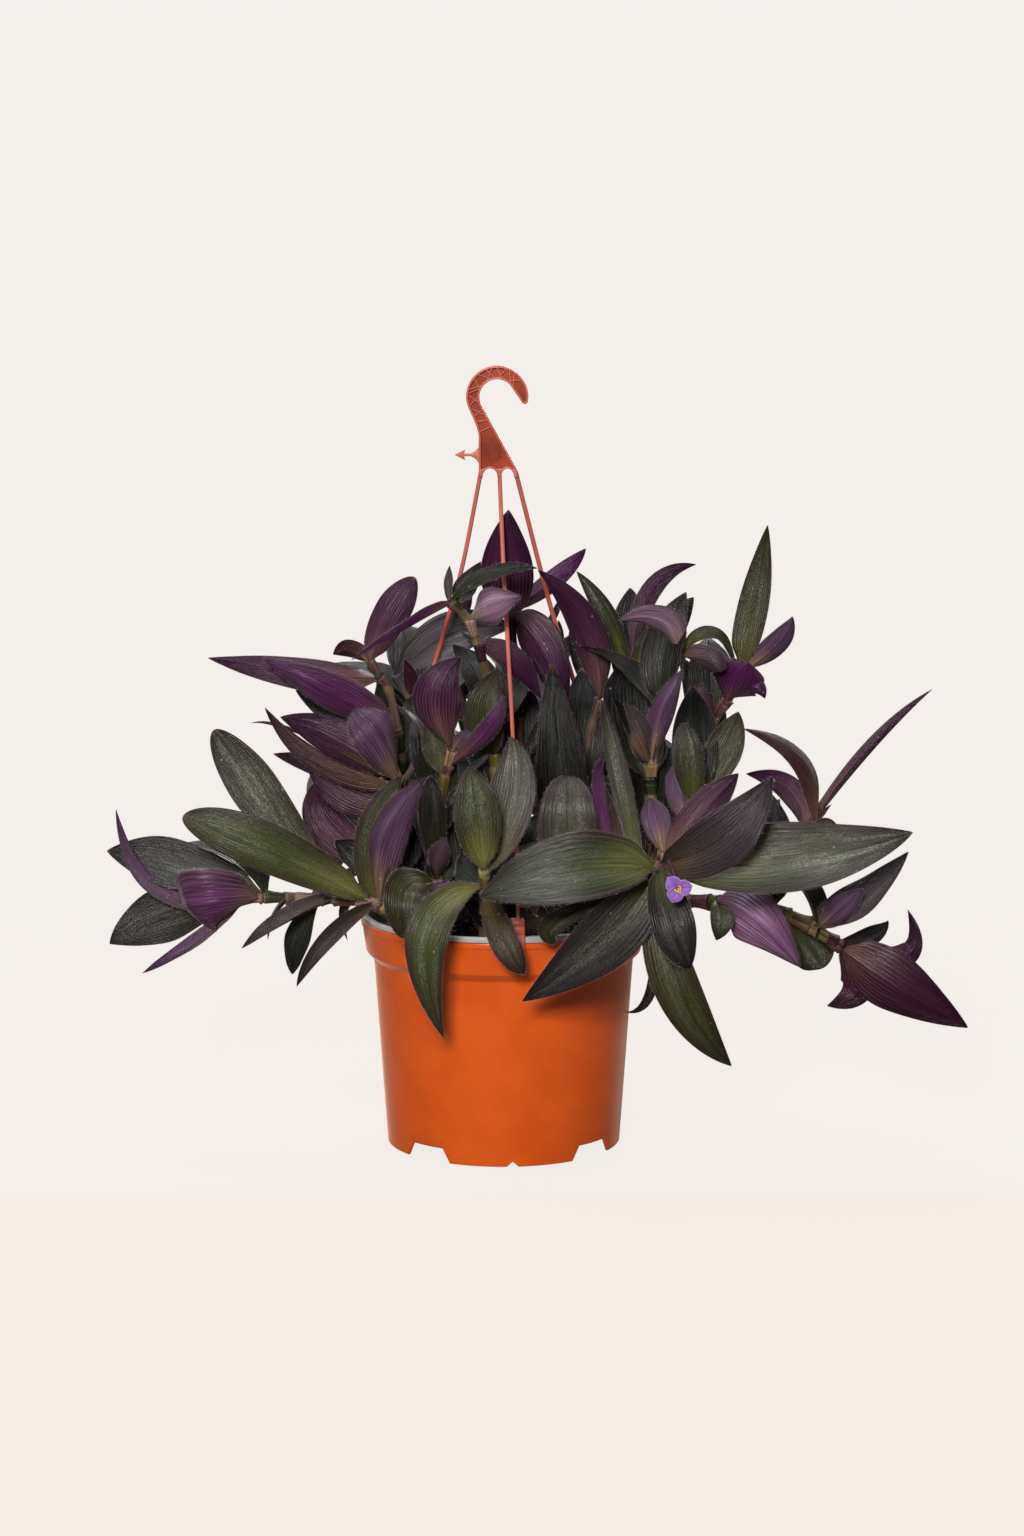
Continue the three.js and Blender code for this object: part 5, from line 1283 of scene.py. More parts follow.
def add_sheath(skin, stem, radii, each, seed):
    """The sheath that clasps the stem below a leaf: a thin sleeve that widens to its mouth."""
    low = min(int(each.at), len(stem) - 2)
    start, end = Vector(stem[low]), Vector(stem[low + 1])
    part = each.at - low
    if part < 0.05 and low > 0:
        low, part = low - 1, 1.0
        start, end = Vector(stem[low]), Vector(stem[low + 1])
    radius = radii[low] + (radii[min(low + 1, len(radii) - 1)] - radii[low]) * part
    mouth = start.lerp(end, part)
    back = (start - end).normalized()
    reach = min(SHEATH["long"], (mouth - start).length * 0.8)
    if reach < SHEATH["shortest"]:
        return
    leaf_way = (Vector(each.mid) - mouth).normalized()
    line, sizes, tones = [], [], []
    base = to_linear(each.tone.base)
    for i in range(SHEATH["steps"] + 1):
        f = i / SHEATH["steps"]
        line.append(mouth + back * reach * (1 - f) + leaf_way * (0.9 * f * f))
        sizes.append(radius * (1.06 + SHEATH["flare"] * f * f))
        tones.append(base * (0.8 + 0.25 * f))
    add_rod(skin, line, sizes, tones, seed=seed)


def turned_shoot(like, turn, scale, without):
    """A back shoot: a front one turned round the pot's axis and drawn in towards its root."""
    model = SHOOTS[like]
    spin = Matrix.Rotation(math.radians(turn), 3, "Z")
    root = spin @ Vector(model.stem[0])

    def place(point):
        q = spin @ Vector(point)
        return (root.x + (q.x - root.x) * scale, root.y + (q.y - root.y) * scale, q.z)

    leaves = [each._replace(mid=place(each.mid), tip=place(each.tip), wide=each.wide * scale,
                            face=tuple(spin @ Vector(each.face)))
              for i, each in enumerate(model.leaves) if i not in without]
    return Shoot([place(p) for p in model.stem], model.radii, leaves)


def inner_leaf(stem, at, azimuth, lean):
    """An inner leaf, arching over from its middle to its tip, in the SHADED tone of painted shade."""
    base = stem_point(stem, at)
    turn, tilt, bend = (math.radians(a) for a in (azimuth, lean, INNER_LEAF["arch"] / 2))

    def away(angle, reach):
        outward = math.sin(angle) * reach
        return (base.x + outward * math.cos(turn), base.y + outward * math.sin(turn),
                base.z + math.cos(angle) * reach)

    face = (-math.cos(turn), -math.sin(turn), math.tan(tilt))
    return leaf(at, away(tilt - bend, INNER_LEAF["long"] / 2), away(tilt + bend, INNER_LEAF["long"]),
                INNER_LEAF["wide"], face, SHADED)


def make_stem(name, shoot, index, hair_lines):
    """One leafy stem: its stalk, its leaves and their sheaths, as one piece."""
    rng = random.Random(100 + index)
    skin = Skin()
    line, sizes, marks = filled_line(*smooth_line(shoot.stem, shoot.radii))
    plain, joint = (to_linear(c) for c in STEM_SKINS.get(name.replace("back_", ""), PLAIN_SKIN))
    tones = [plain * (1 - m) + joint * m for m in marks]
    add_rod(skin, line, sizes, tones, seed=index)
    for each in shoot.leaves:
        add_blade(skin, shoot.stem, each, rng, hair_lines)
        add_sheath(skin, shoot.stem, shoot.radii, each, rng.uniform(0, 40))
    if name == FLOWERING_STEM:
        line, sizes, _ = filled_line(*smooth_line(STALK_STEM, STALK_RADII, 0), step=2.0)
        add_rod(skin, line, sizes, [to_linear(STALK_SKIN)] * len(line), sides=10)
    return finished(skin.piece("leafy_stem_" + name), ["stem_" + name], "leaf", LEAF_BLADE, STEM_SKIN)


def make_plant():
    """Every leafy stem, and the fine hairs on the margins of their leaves."""
    hair_lines = []
    shoots = {}
    for name, shoot in SHOOTS.items():
        inner = [inner_leaf(shoot.stem, *each)
                 for each in INNER_LEAVES.get(name, []) + FILLING_LEAVES.get(name, [])]
        shoots[name] = shoot._replace(leaves=shoot.leaves + inner)
    for name, back in BACK_SHOOTS.items():
        shoots[name] = turned_shoot(*back)
    for index, (name, shoot) in enumerate(shoots.items()):
        make_stem(name, shoot, index, hair_lines)
    lines = line_object("margin_hairs", [line for line, _ in hair_lines],
                        outward=np.concatenate([out for _, out in hair_lines]))
    hairs = with_tree(lines, HAIRS, {**HAIR, "Material": LEAF_HAIR})
    finished(hairs, [], "leaf", LEAF_HAIR)


# ---- pot, grow pot and soil -----------------------------------------------------------------


def wall_radius(z, inset):
    """The pot's outer radius at a height, less an inset."""
    heights = [h for _, h in POT_WALL]
    return float(np.interp(z, heights, [r for r, _ in POT_WALL])) - inset


def turned_shell(name, rows, angles):
    """A closed shell of revolution, from rows of a radius and a height, which may follow the angle.

    The first and last rows lie on the axis."""
    points, faces = [], []
    count = len(angles)
    for radius, height in rows[1:-1]:
        for a in angles:
            r = radius(a) if callable(radius) else radius
            z = height(a) if callable(height) else height
            points.append((r * math.sin(a), -r * math.cos(a), z))
    for i in range(len(rows) - 3):
        for j in range(count):
            k = (j + 1) % count
            faces.append((i * count + j, i * count + k, (i + 1) * count + k, (i + 1) * count + j))
    first, last = len(points), len(points) + 1
    points += [(0, 0, rows[0][1]), (0, 0, rows[-1][1])]
    end = (len(rows) - 3) * count
    for j in range(count):
        k = (j + 1) % count
        faces.append((first, k, j))
        faces.append((last, end + j, end + k))
    return mesh_object(name, points, faces)


def foot_edge(angle):
    """The height of the pot's lower edge at an angle from the front: arches and a small notch."""
    turn = math.radians(FEET_TURN)
    from_arch = abs((angle - turn) % (math.pi / 2) - math.pi / 4) * FOOT_RADIUS
    inner = FOOT_RADIUS * math.radians(ARCH["half_angle"])
    height = ARCH["height"] * (1 - float(np.clip((from_arch - inner) / ARCH["slant"], 0, 1)))
    from_notch = abs((angle - turn + math.pi) % (2 * math.pi) - math.pi) * FOOT_RADIUS
    notch = NOTCH["height"] * max(0, 1 - from_notch / (NOTCH["width"] / 2))
    return max(height, notch)


def skirt_rows(top_radius, foot_radius, top):
    """Rows down one side of the pot's skirt, from a level top to just above its lower edge."""
    rows = []
    for k in range(SKIRT_ROWS + 1):
        f = k / SKIRT_ROWS
        rows.append((top_radius + (foot_radius - top_radius) * f,
                     lambda a, f=f: top + (foot_edge(a) + FOOT_EASE - top) * f))
    return rows


def pot_angles():
    """Angles round the pot: even all round, and close together where its lower edge rises."""
    turn = math.radians(FEET_TURN)
    inner = math.radians(ARCH["half_angle"])
    slant = ARCH["slant"] / FOOT_RADIUS
    angles = set(round(2 * math.pi * i / 144, 6) for i in range(144))
    for i in range(4):
        for sign in (-1, 1):
            corner = turn + math.pi / 4 + i * math.pi / 2 + sign * inner
            angles |= {round((corner + sign * slant * f) % (2 * math.pi), 6)
                       for f in (-0.12, 0, 0.12, 0.5, 0.88, 1, 1.12)}
    for f in (-1.1, -1, -0.5, -0.05, 0.05, 0.5, 1, 1.1):
        angles.add(round((turn + f * NOTCH["width"] / 2 / FOOT_RADIUS) % (2 * math.pi), 6))
    kept = []
    for a in sorted(angles):
        if not kept or a - kept[-1] > 0.002:
            kept.append(a)
    return kept


def rounded(path, index, radius, steps=4):
    """Points that round a corner of a profile."""
    p, q, r = (Vector(path[index + d]) for d in (-1, 0, 1))
    reach = min(radius, (p - q).length * 0.45, (r - q).length * 0.45)
    a, b = q + (p - q).normalized() * reach, q + (r - q).normalized() * reach
    return [tuple(a * (1 - f) ** 2 + q * (2 * f * (1 - f)) + b * f * f)
            for f in (k / steps for k in range(steps + 1))]


def softened(path, radii):
    """A profile with its corners rounded by the radii given by their index."""
    out = []
    for i, point in enumerate(path):
        out += rounded(path, i, radii[i]) if radii.get(i) else [tuple(point)]
    return out


def filled_profile(path, step):
    """A profile with points added so that none of its stretches is longer than step."""
    out = [path[0]]
    for (r0, z0), (r1, z1) in zip(path, path[1:]):
        count = max(1, math.ceil(math.hypot(r1 - r0, z1 - z0) / step))
        out += [(r0 + (r1 - r0) * k / count, z0 + (z1 - z0) * k / count) for k in range(1, count + 1)]
    return out


def make_pot():
    """The orange pot: a turned shell whose lower edge rises in four arches and a notch."""
    path = [(FOOT_RADIUS, 0), *POT_WALL, *((r - WALL, z) for r, z in reversed(POT_WALL[1:]))]
    path = softened(path, POT_CORNERS)
    path += [(wall_radius(FLOOR_TOP, WALL), FLOOR_TOP)]
    path = filled_profile(path, 6)
    inside = wall_radius(FLOOR_BOTTOM, WALL)
    rows = [(0, 0), (PAD_RADIUS - 0.5, 0), (PAD_RADIUS, 0.5), (PAD_RADIUS, FLOOR_BOTTOM - FOOT_EASE),
            (PAD_RADIUS + FOOT_EASE, FLOOR_BOTTOM), (inside - 1.5, FLOOR_BOTTOM)]
    rows += skirt_rows(inside, inside - 1, FLOOR_BOTTOM - 0.5)
    rows += [(FOOT_RADIUS - WALL + FOOT_EASE, foot_edge), (FOOT_RADIUS - FOOT_EASE, foot_edge)]
    rows += skirt_rows(POT_WALL[0][0], FOOT_RADIUS, FLOOR_BOTTOM)[::-1]
    rows += [p for p in path if p[1] > FLOOR_BOTTOM + 0.1 or p[0] < 60]
    rows += [(40, FLOOR_TOP), (0, FLOOR_TOP)]
    pot = turned_shell("pot_shell", rows, pot_angles())
    pot.data.set_sharp_from_angle(angle=math.radians(38))
    finished(pot, ["hanging_pot"], "pot", POT_PLASTIC)


def make_grow_pot():
    """The pale grow pot inside it: a thin shell with a rounded, slightly uneven lip."""
    outside, inside = WALL + GAP, WALL + GAP + LINER_WALL
    floor = FLOOR_TOP + SEAT_GAP
    neck = RIM_RADIUS - WALL - GAP
    lip = RIM_TOP + SEAT_GAP
    heights = [z for _, z in POT_WALL[1:4]]
    path = [(wall_radius(floor, outside), floor), *((wall_radius(z, outside), z) for z in heights),
            (neck, lip), (LIP_RADIUS, lip), (LIP_RADIUS, LIP_TOP), (neck - LINER_WALL, LIP_TOP),
            *((wall_radius(z, inside), z) for z in reversed(heights)),
            (wall_radius(floor + LINER_FLOOR, inside), floor + LINER_FLOOR)]
    path = filled_profile(softened(path, LINER_CORNERS), 8)

    def uneven(angle, z):
        wobble = 0.25 * math.sin(3 * angle + 0.7) + 0.12 * math.sin(7 * angle)
        return z + wobble * (z - UNEVEN_FROM) / (LIP_TOP - UNEVEN_FROM)

    rows = [(0, floor)]
    rows += [(r, (lambda a, z=z: uneven(a, z)) if z > UNEVEN_FROM else z) for r, z in path]
    rows.append((0, floor + LINER_FLOOR))
    angles = [2 * math.pi * i / 160 for i in range(160)]
    shell = turned_shell("grow_pot_shell", rows, angles)
    shell.data.set_sharp_from_angle(angle=math.radians(40))
    finished(shell, ["grow_pot"], "liner", LIP_PLASTIC)


def soil_height(x, y, edge):
    """The soil's lumpy, mounded top, which sinks a little at its edge."""
    lump = SOIL["lump"] * (math.sin(0.31 * x + 0.11 * y) + math.cos(0.27 * y - 0.15 * x))
    fine = 0.5 * math.sin(1.1 * x - 0.7 * y) * math.cos(0.9 * y + 0.4 * x)
    fade = float(smooth_step(edge - math.hypot(x, y), 0, 6))
    mound = SOIL["top"] + SOIL["mound"] * (1 - (x * x + y * y) / (edge * edge))
    return mound + (lump + fine) * fade - 2 * (1 - fade)


# What lies on the soil: how many to a square metre, the seed that places them, and their stuff.
SCATTERED = {"soil_crumbs": (190000, 3, PEAT), "soil_grains": (2600, 8, PERLITE)}
CRUMB_RADIUS = 0.0011


def make_soil():
    """The soil that fills the grow pot, with crumbs and a few white grains on it."""
    inset = WALL + GAP + LINER_WALL + SEAT_GAP
    bottom = FLOOR_TOP + SEAT_GAP + LINER_FLOOR + SEAT_GAP
    edge = wall_radius(SOIL["top"], inset) - 0.4
    count, rings = 120, 34
    angles = [2 * math.pi * i / count for i in range(count)]
    radii = [edge * (i / rings) for i in range(rings, 0, -1)]
    walls = (bottom, 60, 112, 116.6, 121)
    rows = [(0, bottom)] + [(wall_radius(z, inset + 0.4), z) for z in walls]
    for radius in radii:
        rows.append((radius, lambda a, r=radius: soil_height(r * math.sin(a), -r * math.cos(a), edge)))
    rows.append((0, soil_height(0, 0, edge)))
    soil = turned_shell("soil_fill", rows, angles)
    finished(soil, ["soil"], "soil", PEAT)
    top = [(r * math.sin(a), -r * math.cos(a), soil_height(r * math.sin(a), -r * math.cos(a), edge))
           for r in radii[2:] for a in angles]
    faces = [(i * count + j, i * count + (j + 1) % count, (i + 1) * count + (j + 1) % count,
              (i + 1) * count + j) for i in range(len(radii) - 3) for j in range(count)]
    for name, (density, seed, material) in SCATTERED.items():
        crumbs = with_tree(mesh_object(name, top, faces), CRUMBS, {
            "Number per square metre": density, "Crumb radius": CRUMB_RADIUS, "Seed": seed,
            "Material": material})
        finished(crumbs, [], "soil", material)


# ---- hanger ---------------------------------------------------------------------------------


def arc(x, z, radius, start, end, steps):
    """Points on an arc, with its angles in half turns."""
    return [(x + radius * math.cos(math.pi * a), z + radius * math.sin(math.pi * a))
            for a in (start + (end - start) * k / steps for k in range(steps + 1))]


def bezier(a, b, c, d, steps):
    """Points on a curve from a to d, drawn towards b and c."""
    knots = [Vector((*p, 0)) for p in (a, b, c, d)]
    return [(p.x, p.y) for p in interpolate_bezier(*knots, steps + 1)]


def flat_piece(name, outlines, depth, edge):
    """A moulded flat piece: outlines in x and z, holes included, with rounded edges."""
    curve = bpy.data.curves.new(name, "CURVE")
    curve.dimensions = "2D"
    curve.fill_mode = "BOTH"
    curve.extrude = (depth / 2 - edge) * MM
    curve.bevel_depth = edge * MM
    curve.bevel_resolution = 2
    curve.offset = -edge * MM
    for outline in outlines:
        spline = curve.splines.new("POLY")
        spline.points.add(len(outline) - 1)
        for point, (x, z) in zip(spline.points, outline):
            point.co = (x * MM, z * MM, 0, 1)
        spline.use_cyclic_u = True
    holder = bpy.data.objects.new(name, curve)
    bpy.context.scene.collection.objects.link(holder)
    mesh = evaluated_mesh(holder)
    bpy.data.objects.remove(holder)
    mesh.transform(Matrix.Rotation(math.pi / 2, 4, "X"))
    piece = bpy.data.objects.new(name, mesh)
    bpy.context.scene.collection.objects.link(piece)
    weld(piece)
    return piece


def weld(piece, distance=0.00002):
    """Merges a piece's doubles and turns its faces out."""
    shape = bmesh.new()
    shape.from_mesh(piece.data)
    bmesh.ops.remove_doubles(shape, verts=shape.verts, dist=distance)
    bmesh.ops.recalc_face_normals(shape, faces=shape.faces)
    shape.to_mesh(piece.data)
    shape.free()
    piece.data.shade_smooth()
    piece.data.set_sharp_from_angle(angle=math.radians(45))


def hook_outline():
    """The hook and plate seen from the front: tip, hook, plate, the roots of its legs and back."""
    x, z, outer, inner = (HOOK[k] for k in ("x", "z", "outer", "inner"))
    left, foot = PLATE["left"], PLATE["foot"]
    root_foot, arch_foot, rise = foot - PLATE["root_drop"], foot - PLATE["arch_drop"], PLATE["arch_rise"]
    points = arc(*HOOK["tip"], HOOK["tip_radius"], HOOK["tip_from"], 2, 8)
    points += arc(x, z, outer, 0, 1, 40)
    points += bezier((x - outer, z), *NECK_BEND, 10)[1:]
    points += [(left, foot + 9), (left, foot + 2)]
    half = LEG_WIDTH / 2
    roots = sorted(path[0][0] for _, path in LEGS)
    for root, following in zip(roots, roots[1:] + [None]):
        points += [(root - half, root_foot), (root + half, root_foot)]
        if following is not None:
            low, high = root + half, following - half
            middle, wide = (low + high) / 2, (high - low) / 2
            points += [(middle - wide * math.cos(a), arch_foot + rise * math.sin(a))
                       for a in (math.pi * k / 12 for k in range(13))]
    edge = roots[-1] + half
    points += bezier((edge, arch_foot), (edge, foot - 0.5), *PLATE["shoulder"], 5)
    points += arc(x, z, inner, *HOOK["throat"], 30)
    return points


def inset(outline, distance, keep_above):
    """An outline drawn in by a distance, without the points that fall too close to its edge."""
    corners = [Vector(p) for p in outline]
    count = len(corners)
    area = sum(a.x * b.y - b.x * a.y for a, b in zip(corners, corners[1:] + corners[:1]))
    kept = []
    for i in range(count):
        a, b = corners[i], corners[(i + 1) % count]
        if (b - a).length < 1e-6:
            continue
        along = (b - a).normalized()
        inward = Vector((-along.y, along.x)) * (1 if area > 0 else -1)
        steps = max(1, int((b - a).length / 0.8))
        for k in range(steps):
            point = a.lerp(b, (k + 0.5) / steps) + inward * distance
            if point.y > keep_above and clear_of(corners, point) > distance - 0.02:
                kept.append((point.x, point.y))
    return kept


def clear_of(corners, point):
    """How far a point is from the nearest edge of an outline."""
    nearest = 1e9
    for a, b in zip(corners, corners[1:] + corners[:1]):
        way = b - a
        f = 0 if way.length < 1e-9 else min(1, max(0, (point - a).dot(way) / way.length_squared))
        nearest = min(nearest, (point - a - way * f).length)
    return nearest


def rib_bars():
    """The crossing ribs in the hook's channel, in groups, and those down its neck."""
    low, high = HOOK["inner"] + 1.2, HOOK["outer"] - 1.2
    bars = []
    for start, end, way in RIBS:
        ends = (low, high) if way > 0 else (high, low)
        bars.append([(HOOK["x"] + r * math.cos(math.pi * t), 0, HOOK["z"] + r * math.sin(math.pi * t))
                     for r, t in zip(ends, (start, end))])
    return bars + [[(x0, 0, z0), (x1, 0, z1)] for x0, z0, x1, z1 in NECK_RIBS]


def catmull_rom(points, steps):
    """A smooth line through points, with its end points kept."""
    p = [Vector(q) for q in points]
    p = [p[0] * 2 - p[1]] + p + [p[-1] * 2 - p[-2]]
    out = []
    for i in range(1, len(p) - 2):
        for k in range(steps):
            f = k / steps
            out.append(0.5 * (p[i] * 2 + (p[i + 1] - p[i - 1]) * f
                              + (p[i - 1] * 2 - p[i] * 5 + p[i + 1] * 4 - p[i + 2]) * f * f
                              + (p[i] * 3 - p[i - 1] - p[i + 1] * 3 + p[i + 2]) * f ** 3))
    return out + [p[-2]]


def leg_line(angle, path):
    """A leg's line, from the plate through its points to the inside of its clip."""
    turn = math.radians(angle)
    reach = (CLIP["face"] + CLIP["inner"]) / 2
    end = (reach * math.sin(turn), -reach * math.cos(turn), CLIP["top"] - 2)
    start = (path[0][0], 0, PLATE["foot"] - 0.4)
    return catmull_rom([start, *path[1:], end], 10)


def clip_piece(angle, index):
    """A clip: over the lip, down outside the rim band, with a tongue inside and two grooves."""
    face, inner, tongue, top, foot = (CLIP[k] for k in ("face", "inner", "tongue", "top", "foot"))
    bridge = LIP_TOP + 0.4
    groove, step = top - CLIP["groove"], top - CLIP["step"]
    back, tongue_foot = tongue - CLIP["tongue_thick"], CLIP["tongue_foot"]
    outline = [
        (inner, foot + 1.5), (inner + 0.8, foot), (face - 0.6, foot), (face, foot + 1),
        (face, groove - 1), (face - 0.8, groove), (face, groove + 1), (face, step - 0.8),
        (face - 0.7, step), (face - 0.2, step + 0.8), (face - 0.2, top - 1), (face - 1, top),
        (back, top), (back, tongue_foot), (tongue, tongue_foot), (tongue, bridge), (inner, bridge),
    ]
    piece = flat_piece(f"clip_{index}", [outline], CLIP["width"], 0.3)
    piece.data.transform(Matrix.Rotation(math.radians(angle - 90), 4, "Z"))
    return piece


def make_hanger():
    """The hanger: hook and plate with raised borders and ribs, three square legs, three clips."""
    outline = hook_outline()
    recess = inset(outline, HOOK["border"], PLATE["foot"] + 1.5)
    rim, face = (arc(DISC["x"], DISC["z"], r, 0, 1.95, 40)
                 for r in (DISC["radius"] + DISC["rim"], DISC["radius"]))
    raised = [
        flat_piece("hook_border", [outline, recess], HOOK["thick"], 0.5),
        flat_piece("side_arrow", [ARROW], ARROW_THICK, 0.4),
    ]
    sunk = [
        flat_piece("hook_web", [outline], HOOK["web"], 0.3),
        flat_piece("disc_rim", [rim], HOOK["web"] + 1.0, 0.3),
        flat_piece("disc_face", [face], HOOK["web"] + 1.9, 0.4),
    ]
    ribs = with_tree(line_object("hook_ribs", rib_bars()), BARS, {
        "Width": RIB["width"] * MM, "Depth": (HOOK["thick"] - RIB["below_border"]) * MM,
        "Corner": RIB["corner"] * MM, "Material": HANGER_PLASTIC})
    legs = with_tree(line_object("legs", [leg_line(*leg) for leg in LEGS]), BARS, {
        "Width": LEG_WIDTH * MM, "Depth": LEG_WIDTH * MM, "Corner": LEG_CORNER * MM,
        "Material": HANGER_PLASTIC})
    for piece in (ribs, legs):
        weld(piece)
    clips = [clip_piece(angle, i) for i, (angle, _) in enumerate(LEGS)]
    # The web and the disc in the hook's recess take the darker copy: painted shade in the recess.
    for piece in (*raised, legs, *clips, *sunk, ribs):
        piece.data.materials.clear()
        piece.data.materials.append(RECESS_SHADE_PLASTIC if piece in sunk else HANGER_PLASTIC)
    hanger = merged("hanger_moulding", [*raised, legs, *clips, ribs, *sunk])
    finished(hanger, ["hanger"], "hanger")


# ---- flower ---------------------------------------------------------------------------------


def make_flower():
    """Three lilac petals round six stamens with yellow anthers, facing the viewer."""
    rng = random.Random(12)
    skin = Skin()
    centre = Vector(FLOWER_AT)
    for degrees in PETAL_TURNS:
        angle = math.radians(degrees)
        out = Vector((math.sin(angle), 0, math.cos(angle)))
        mid = centre + out * (PETAL["from_heart"] + PETAL["long"] / 2) + Vector((0, -1.9, 0))
        tip = centre + out * (PETAL["from_heart"] + PETAL["long"]) + Vector((0, -1.2, 0))
        petal = leaf(0, tuple(mid), tuple(tip), PETAL["wide"], (0, -3, 0), PETAL_TONE, PETAL_FORM)
        stem = [tuple(centre), tuple(centre + out)]
        add_blade(skin, stem, petal, rng, None, PETAL["ripple"], PETAL["thick"])
    ways = []
    for i, reach in enumerate(STAMEN_LEANS):
        angle = 2 * math.pi * i / len(STAMEN_LEANS) + 0.4
        way = Vector((math.sin(angle) * reach + 0.2, -0.85, math.cos(angle) * reach - 0.12)).normalized()
        ways.append(way)
        line = [centre + way * f for f in STAMEN_RADII]
        add_rod(skin, line, list(STAMEN_RADII.values()), [to_linear(STAMEN_SKIN)] * len(line), sides=6)
    flower = skin.piece("flower_petals")
    heads = Skin()
    for way in ways:
        cross = way.cross(Vector((0, 1, 0))).normalized()
        head = centre + way * ANTHER_AT
        line = [head + cross * d for d in ANTHER_RADII]
        add_rod(heads, line, list(ANTHER_RADII.values()), [(1, 1, 1)] * len(line), sides=8)
    anthers = heads.piece("flower_anthers")
    anthers.data.polygons.foreach_set("material_index", [0] * len(anthers.data.polygons))
    finished(flower, ["flower"], "flower", PETAL_SKIN, PETAL_SKIN)
    finished(anthers, ["flower"], "flower", POLLEN)


# ---- camera, floor and light ----------------------------------------------------------------

CAMERA_AT = (5.05, -2240.3, 576.2)
CAMERA_DOWN = 0.15544
LENS = 89.6
SURROUND = (244, 239, 235)
FLOOR_PAPER = (245, 236, 227)
FLOOR_RINGS = (0.15, 0.5, 1, 2, 4, 9, 20)
SHADOW_SHARE = 0.05
AMBIENT_LOW = 0.05
AMBIENT_HIGH = 0.09
WALL_LIGHT = 1.3
WALL_EDGES = ((0.36, 0.933, 0), (-0.559, 0.829, 0))
# Each lamp: its place, how wide it is, its power and its colour. All of them face LIT_POINT.
LAMPS = {
    "key": ((-0.32, -2.3, 1.1), 0.5, 57, (255, 250, 248)),
    "top": ((-0.5, 0.1, 2.2), 0.6, 23, (250, 250, 255)),
    "back": ((0.6, 2.3, 0.9), 0.8, 16, (255, 250, 248)),
}
LIT_POINT = (0, 0, 0.2)


def clear_stage():
    """Removes whatever was in the scene apart from the frame."""
    kept = set(frame["nodes"].values()) | set(frame["bodies"].values())
    for item in list(bpy.data.objects):
        if item not in kept:
            bpy.data.objects.remove(item)


def make_camera():
    """The camera, where the photograph's was taken from."""
    lens = bpy.data.cameras.new("camera")
    lens.lens = LENS
    lens.sensor_width = 36
    lens.clip_start = 0.05
    lens.clip_end = 60
    camera = bpy.data.objects.new("camera", lens)
    camera.location = Vector(CAMERA_AT) * MM
    camera.rotation_euler = (math.pi / 2 - CAMERA_DOWN, 0, 0)
    bpy.context.scene.collection.objects.link(camera)
    bpy.context.scene.camera = camera


def make_lamp(name, at, size, power, colour):
    """A square soft lamp that faces the plant."""
    light = bpy.data.lights.new(name, "AREA")
    light.shape = "SQUARE"
    light.size = size
    light.energy = power
    light.color = to_linear(colour)
    lamp = bpy.data.objects.new(name, light)
    lamp.location = at
    lamp.rotation_euler = (Vector(LIT_POINT) - Vector(at)).to_track_quat("-Z", "Y").to_euler()
    bpy.context.scene.collection.objects.link(lamp)


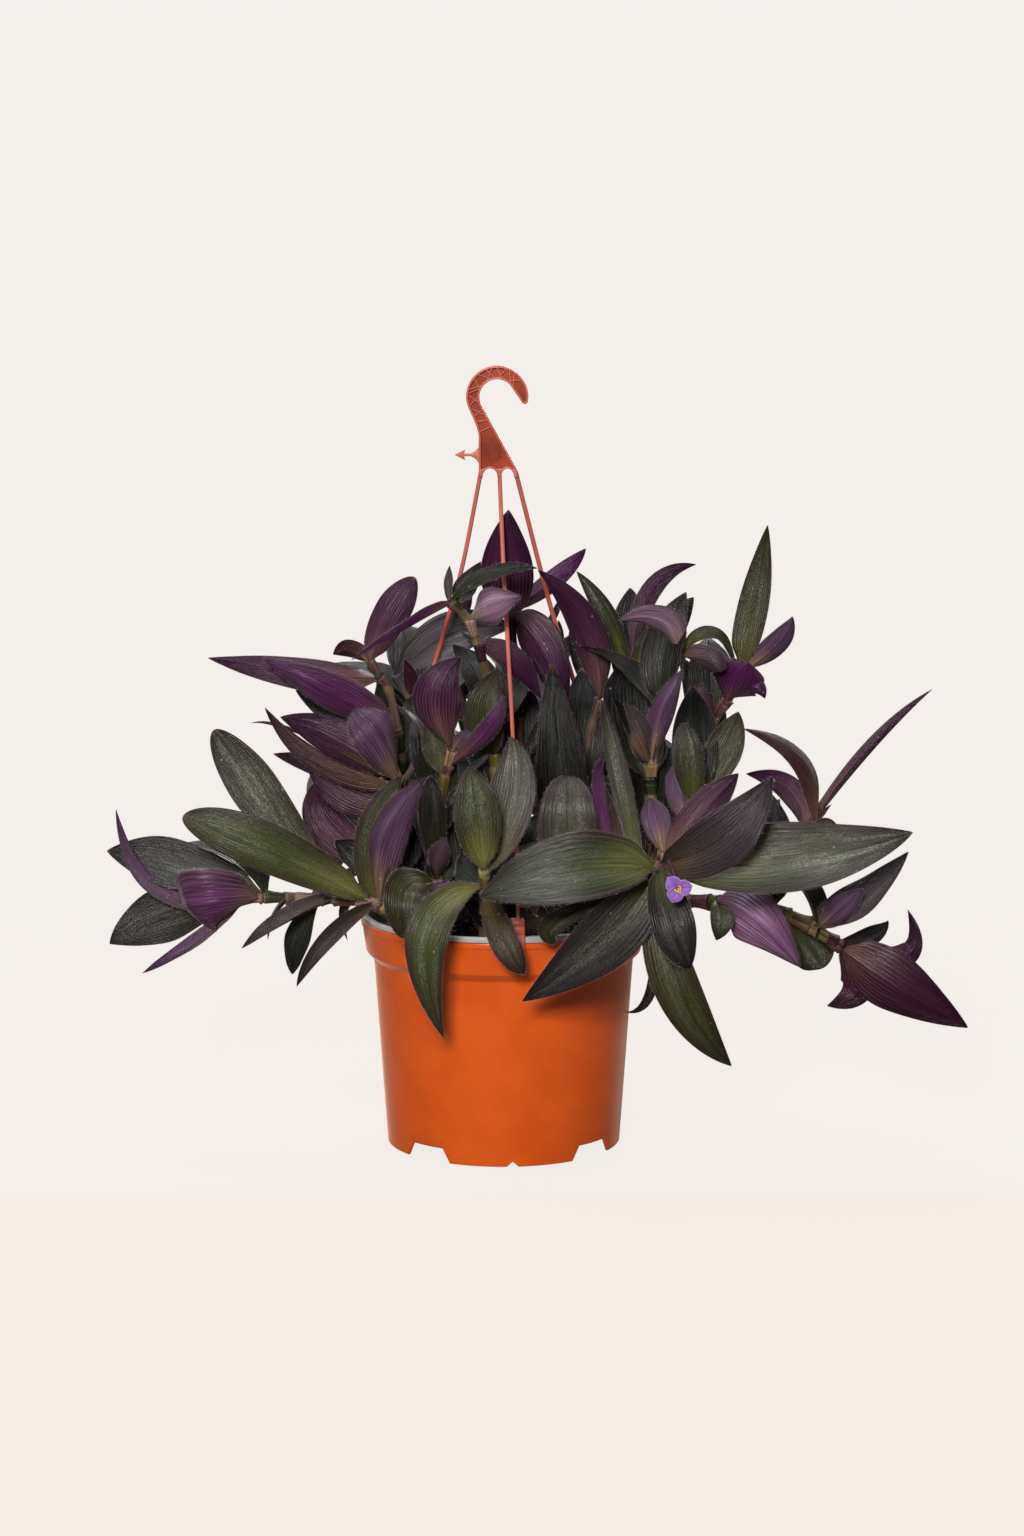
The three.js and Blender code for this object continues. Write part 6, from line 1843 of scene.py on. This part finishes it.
def make_floor():
    """A wide pale floor, seen evenly lit, that carries only a faint shadow and fades far off."""
    count = 96
    points = [(r / MM * math.cos(a), r / MM * math.sin(a), 0)
              for r in FLOOR_RINGS for a in (2 * math.pi * i / count for i in range(count))]
    faces = [tuple(range(count))]
    for i in range(len(FLOOR_RINGS) - 1):
        for j in range(count):
            k = (j + 1) % count
            faces.append((i * count + j, (i + 1) * count + j, (i + 1) * count + k, i * count + k))
    floor = mesh_object("floor", points, faces, smooth=False)
    material, tree, shader = new_material("pale_paper", Roughness=0.9, Specular_IOR_Level=0.1)
    place = own_place(tree)
    apart = node(tree, "ShaderNodeSeparateXYZ", {0: place})
    away = node(tree, "ShaderNodeVectorMath", {0: place}, operation="LENGTH").outputs["Value"]
    near = times(tree, ramp(tree, apart.outputs["Y"], -0.16, -0.09, 1.0, 0.0),
                 ramp(tree, away, 1.0, 3.0, 1.0, 0.0))
    far = ramp(tree, away, 0.3, 1.2, 1.0, 0.0)
    seen = node(tree, "ShaderNodeLightPath").outputs["Is Camera Ray"]
    paper = blend(tree, noise(tree, place, 900.0), FLOOR_PAPER, (238, 230, 222))
    surfaced(tree, shader, blend(tree, seen, (112, 104, 96), paper))
    glow = node(tree, "ShaderNodeEmission", {"Color": blend(tree, near, SURROUND, FLOOR_PAPER)})
    shaded = times(tree, times(tree, far, SHADOW_SHARE), seen)
    even = calc(tree, "SUBTRACT", seen, shaded)
    mixed = node(tree, "ShaderNodeMixShader", {0: even, 1: shader, 2: glow})
    feed(tree, tree.nodes["Material Output"].inputs["Surface"], mixed)
    floor.data.materials.append(material)


def make_surround():
    """The pale surround, as the camera sees it, and the softer light that it gives.

    The light is low all round, higher from above, and bright from a wall behind the plant."""
    world = bpy.data.worlds.new("pale_surround")
    world.use_nodes = True
    tree = world.node_tree
    seen = node(tree, "ShaderNodeLightPath").outputs["Is Camera Ray"]
    way = node(tree, "ShaderNodeTexCoord").outputs["Generated"]
    up = node(tree, "ShaderNodeSeparateXYZ", {0: way}).outputs["Z"]
    wall = 1.0
    for normal in WALL_EDGES:
        facing = node(tree, "ShaderNodeVectorMath", {0: way, 1: normal}, operation="DOT_PRODUCT")
        wall = times(tree, wall, ramp(tree, facing.outputs["Value"], -0.02, 0.02))
    wall = times(tree, wall, ramp(tree, up, -0.1, 0.02))
    wall = times(tree, wall, ramp(tree, up, 0.5, 0.8, 1.0, 0.2))
    glow = ramp(tree, up, -0.2, 0.9, AMBIENT_LOW, AMBIENT_HIGH)
    lit = calc(tree, "MULTIPLY_ADD", wall, WALL_LIGHT, glow)
    strength = node(tree, "ShaderNodeMix", {"Factor": seen, "A": lit, "B": 1.0})
    backdrop = tree.nodes["Background"]
    feed(tree, backdrop.inputs["Color"], SURROUND)
    feed(tree, backdrop.inputs["Strength"], strength)
    bpy.context.scene.world = world


def make_light():
    """The plain colour view, the pale surround and the lamps."""
    view = bpy.context.scene.view_settings
    view.view_transform = "Standard"
    view.look = "None"
    view.exposure = 0.0
    view.gamma = 1.0
    make_surround()
    for name, lamp in LAMPS.items():
        make_lamp(name, *lamp)


# ---- the whole scene ------------------------------------------------------------------------

clear_stage()
make_camera()
make_floor()
make_light()
make_pot()
make_grow_pot()
make_soil()
make_hanger()
make_plant()
make_flower()
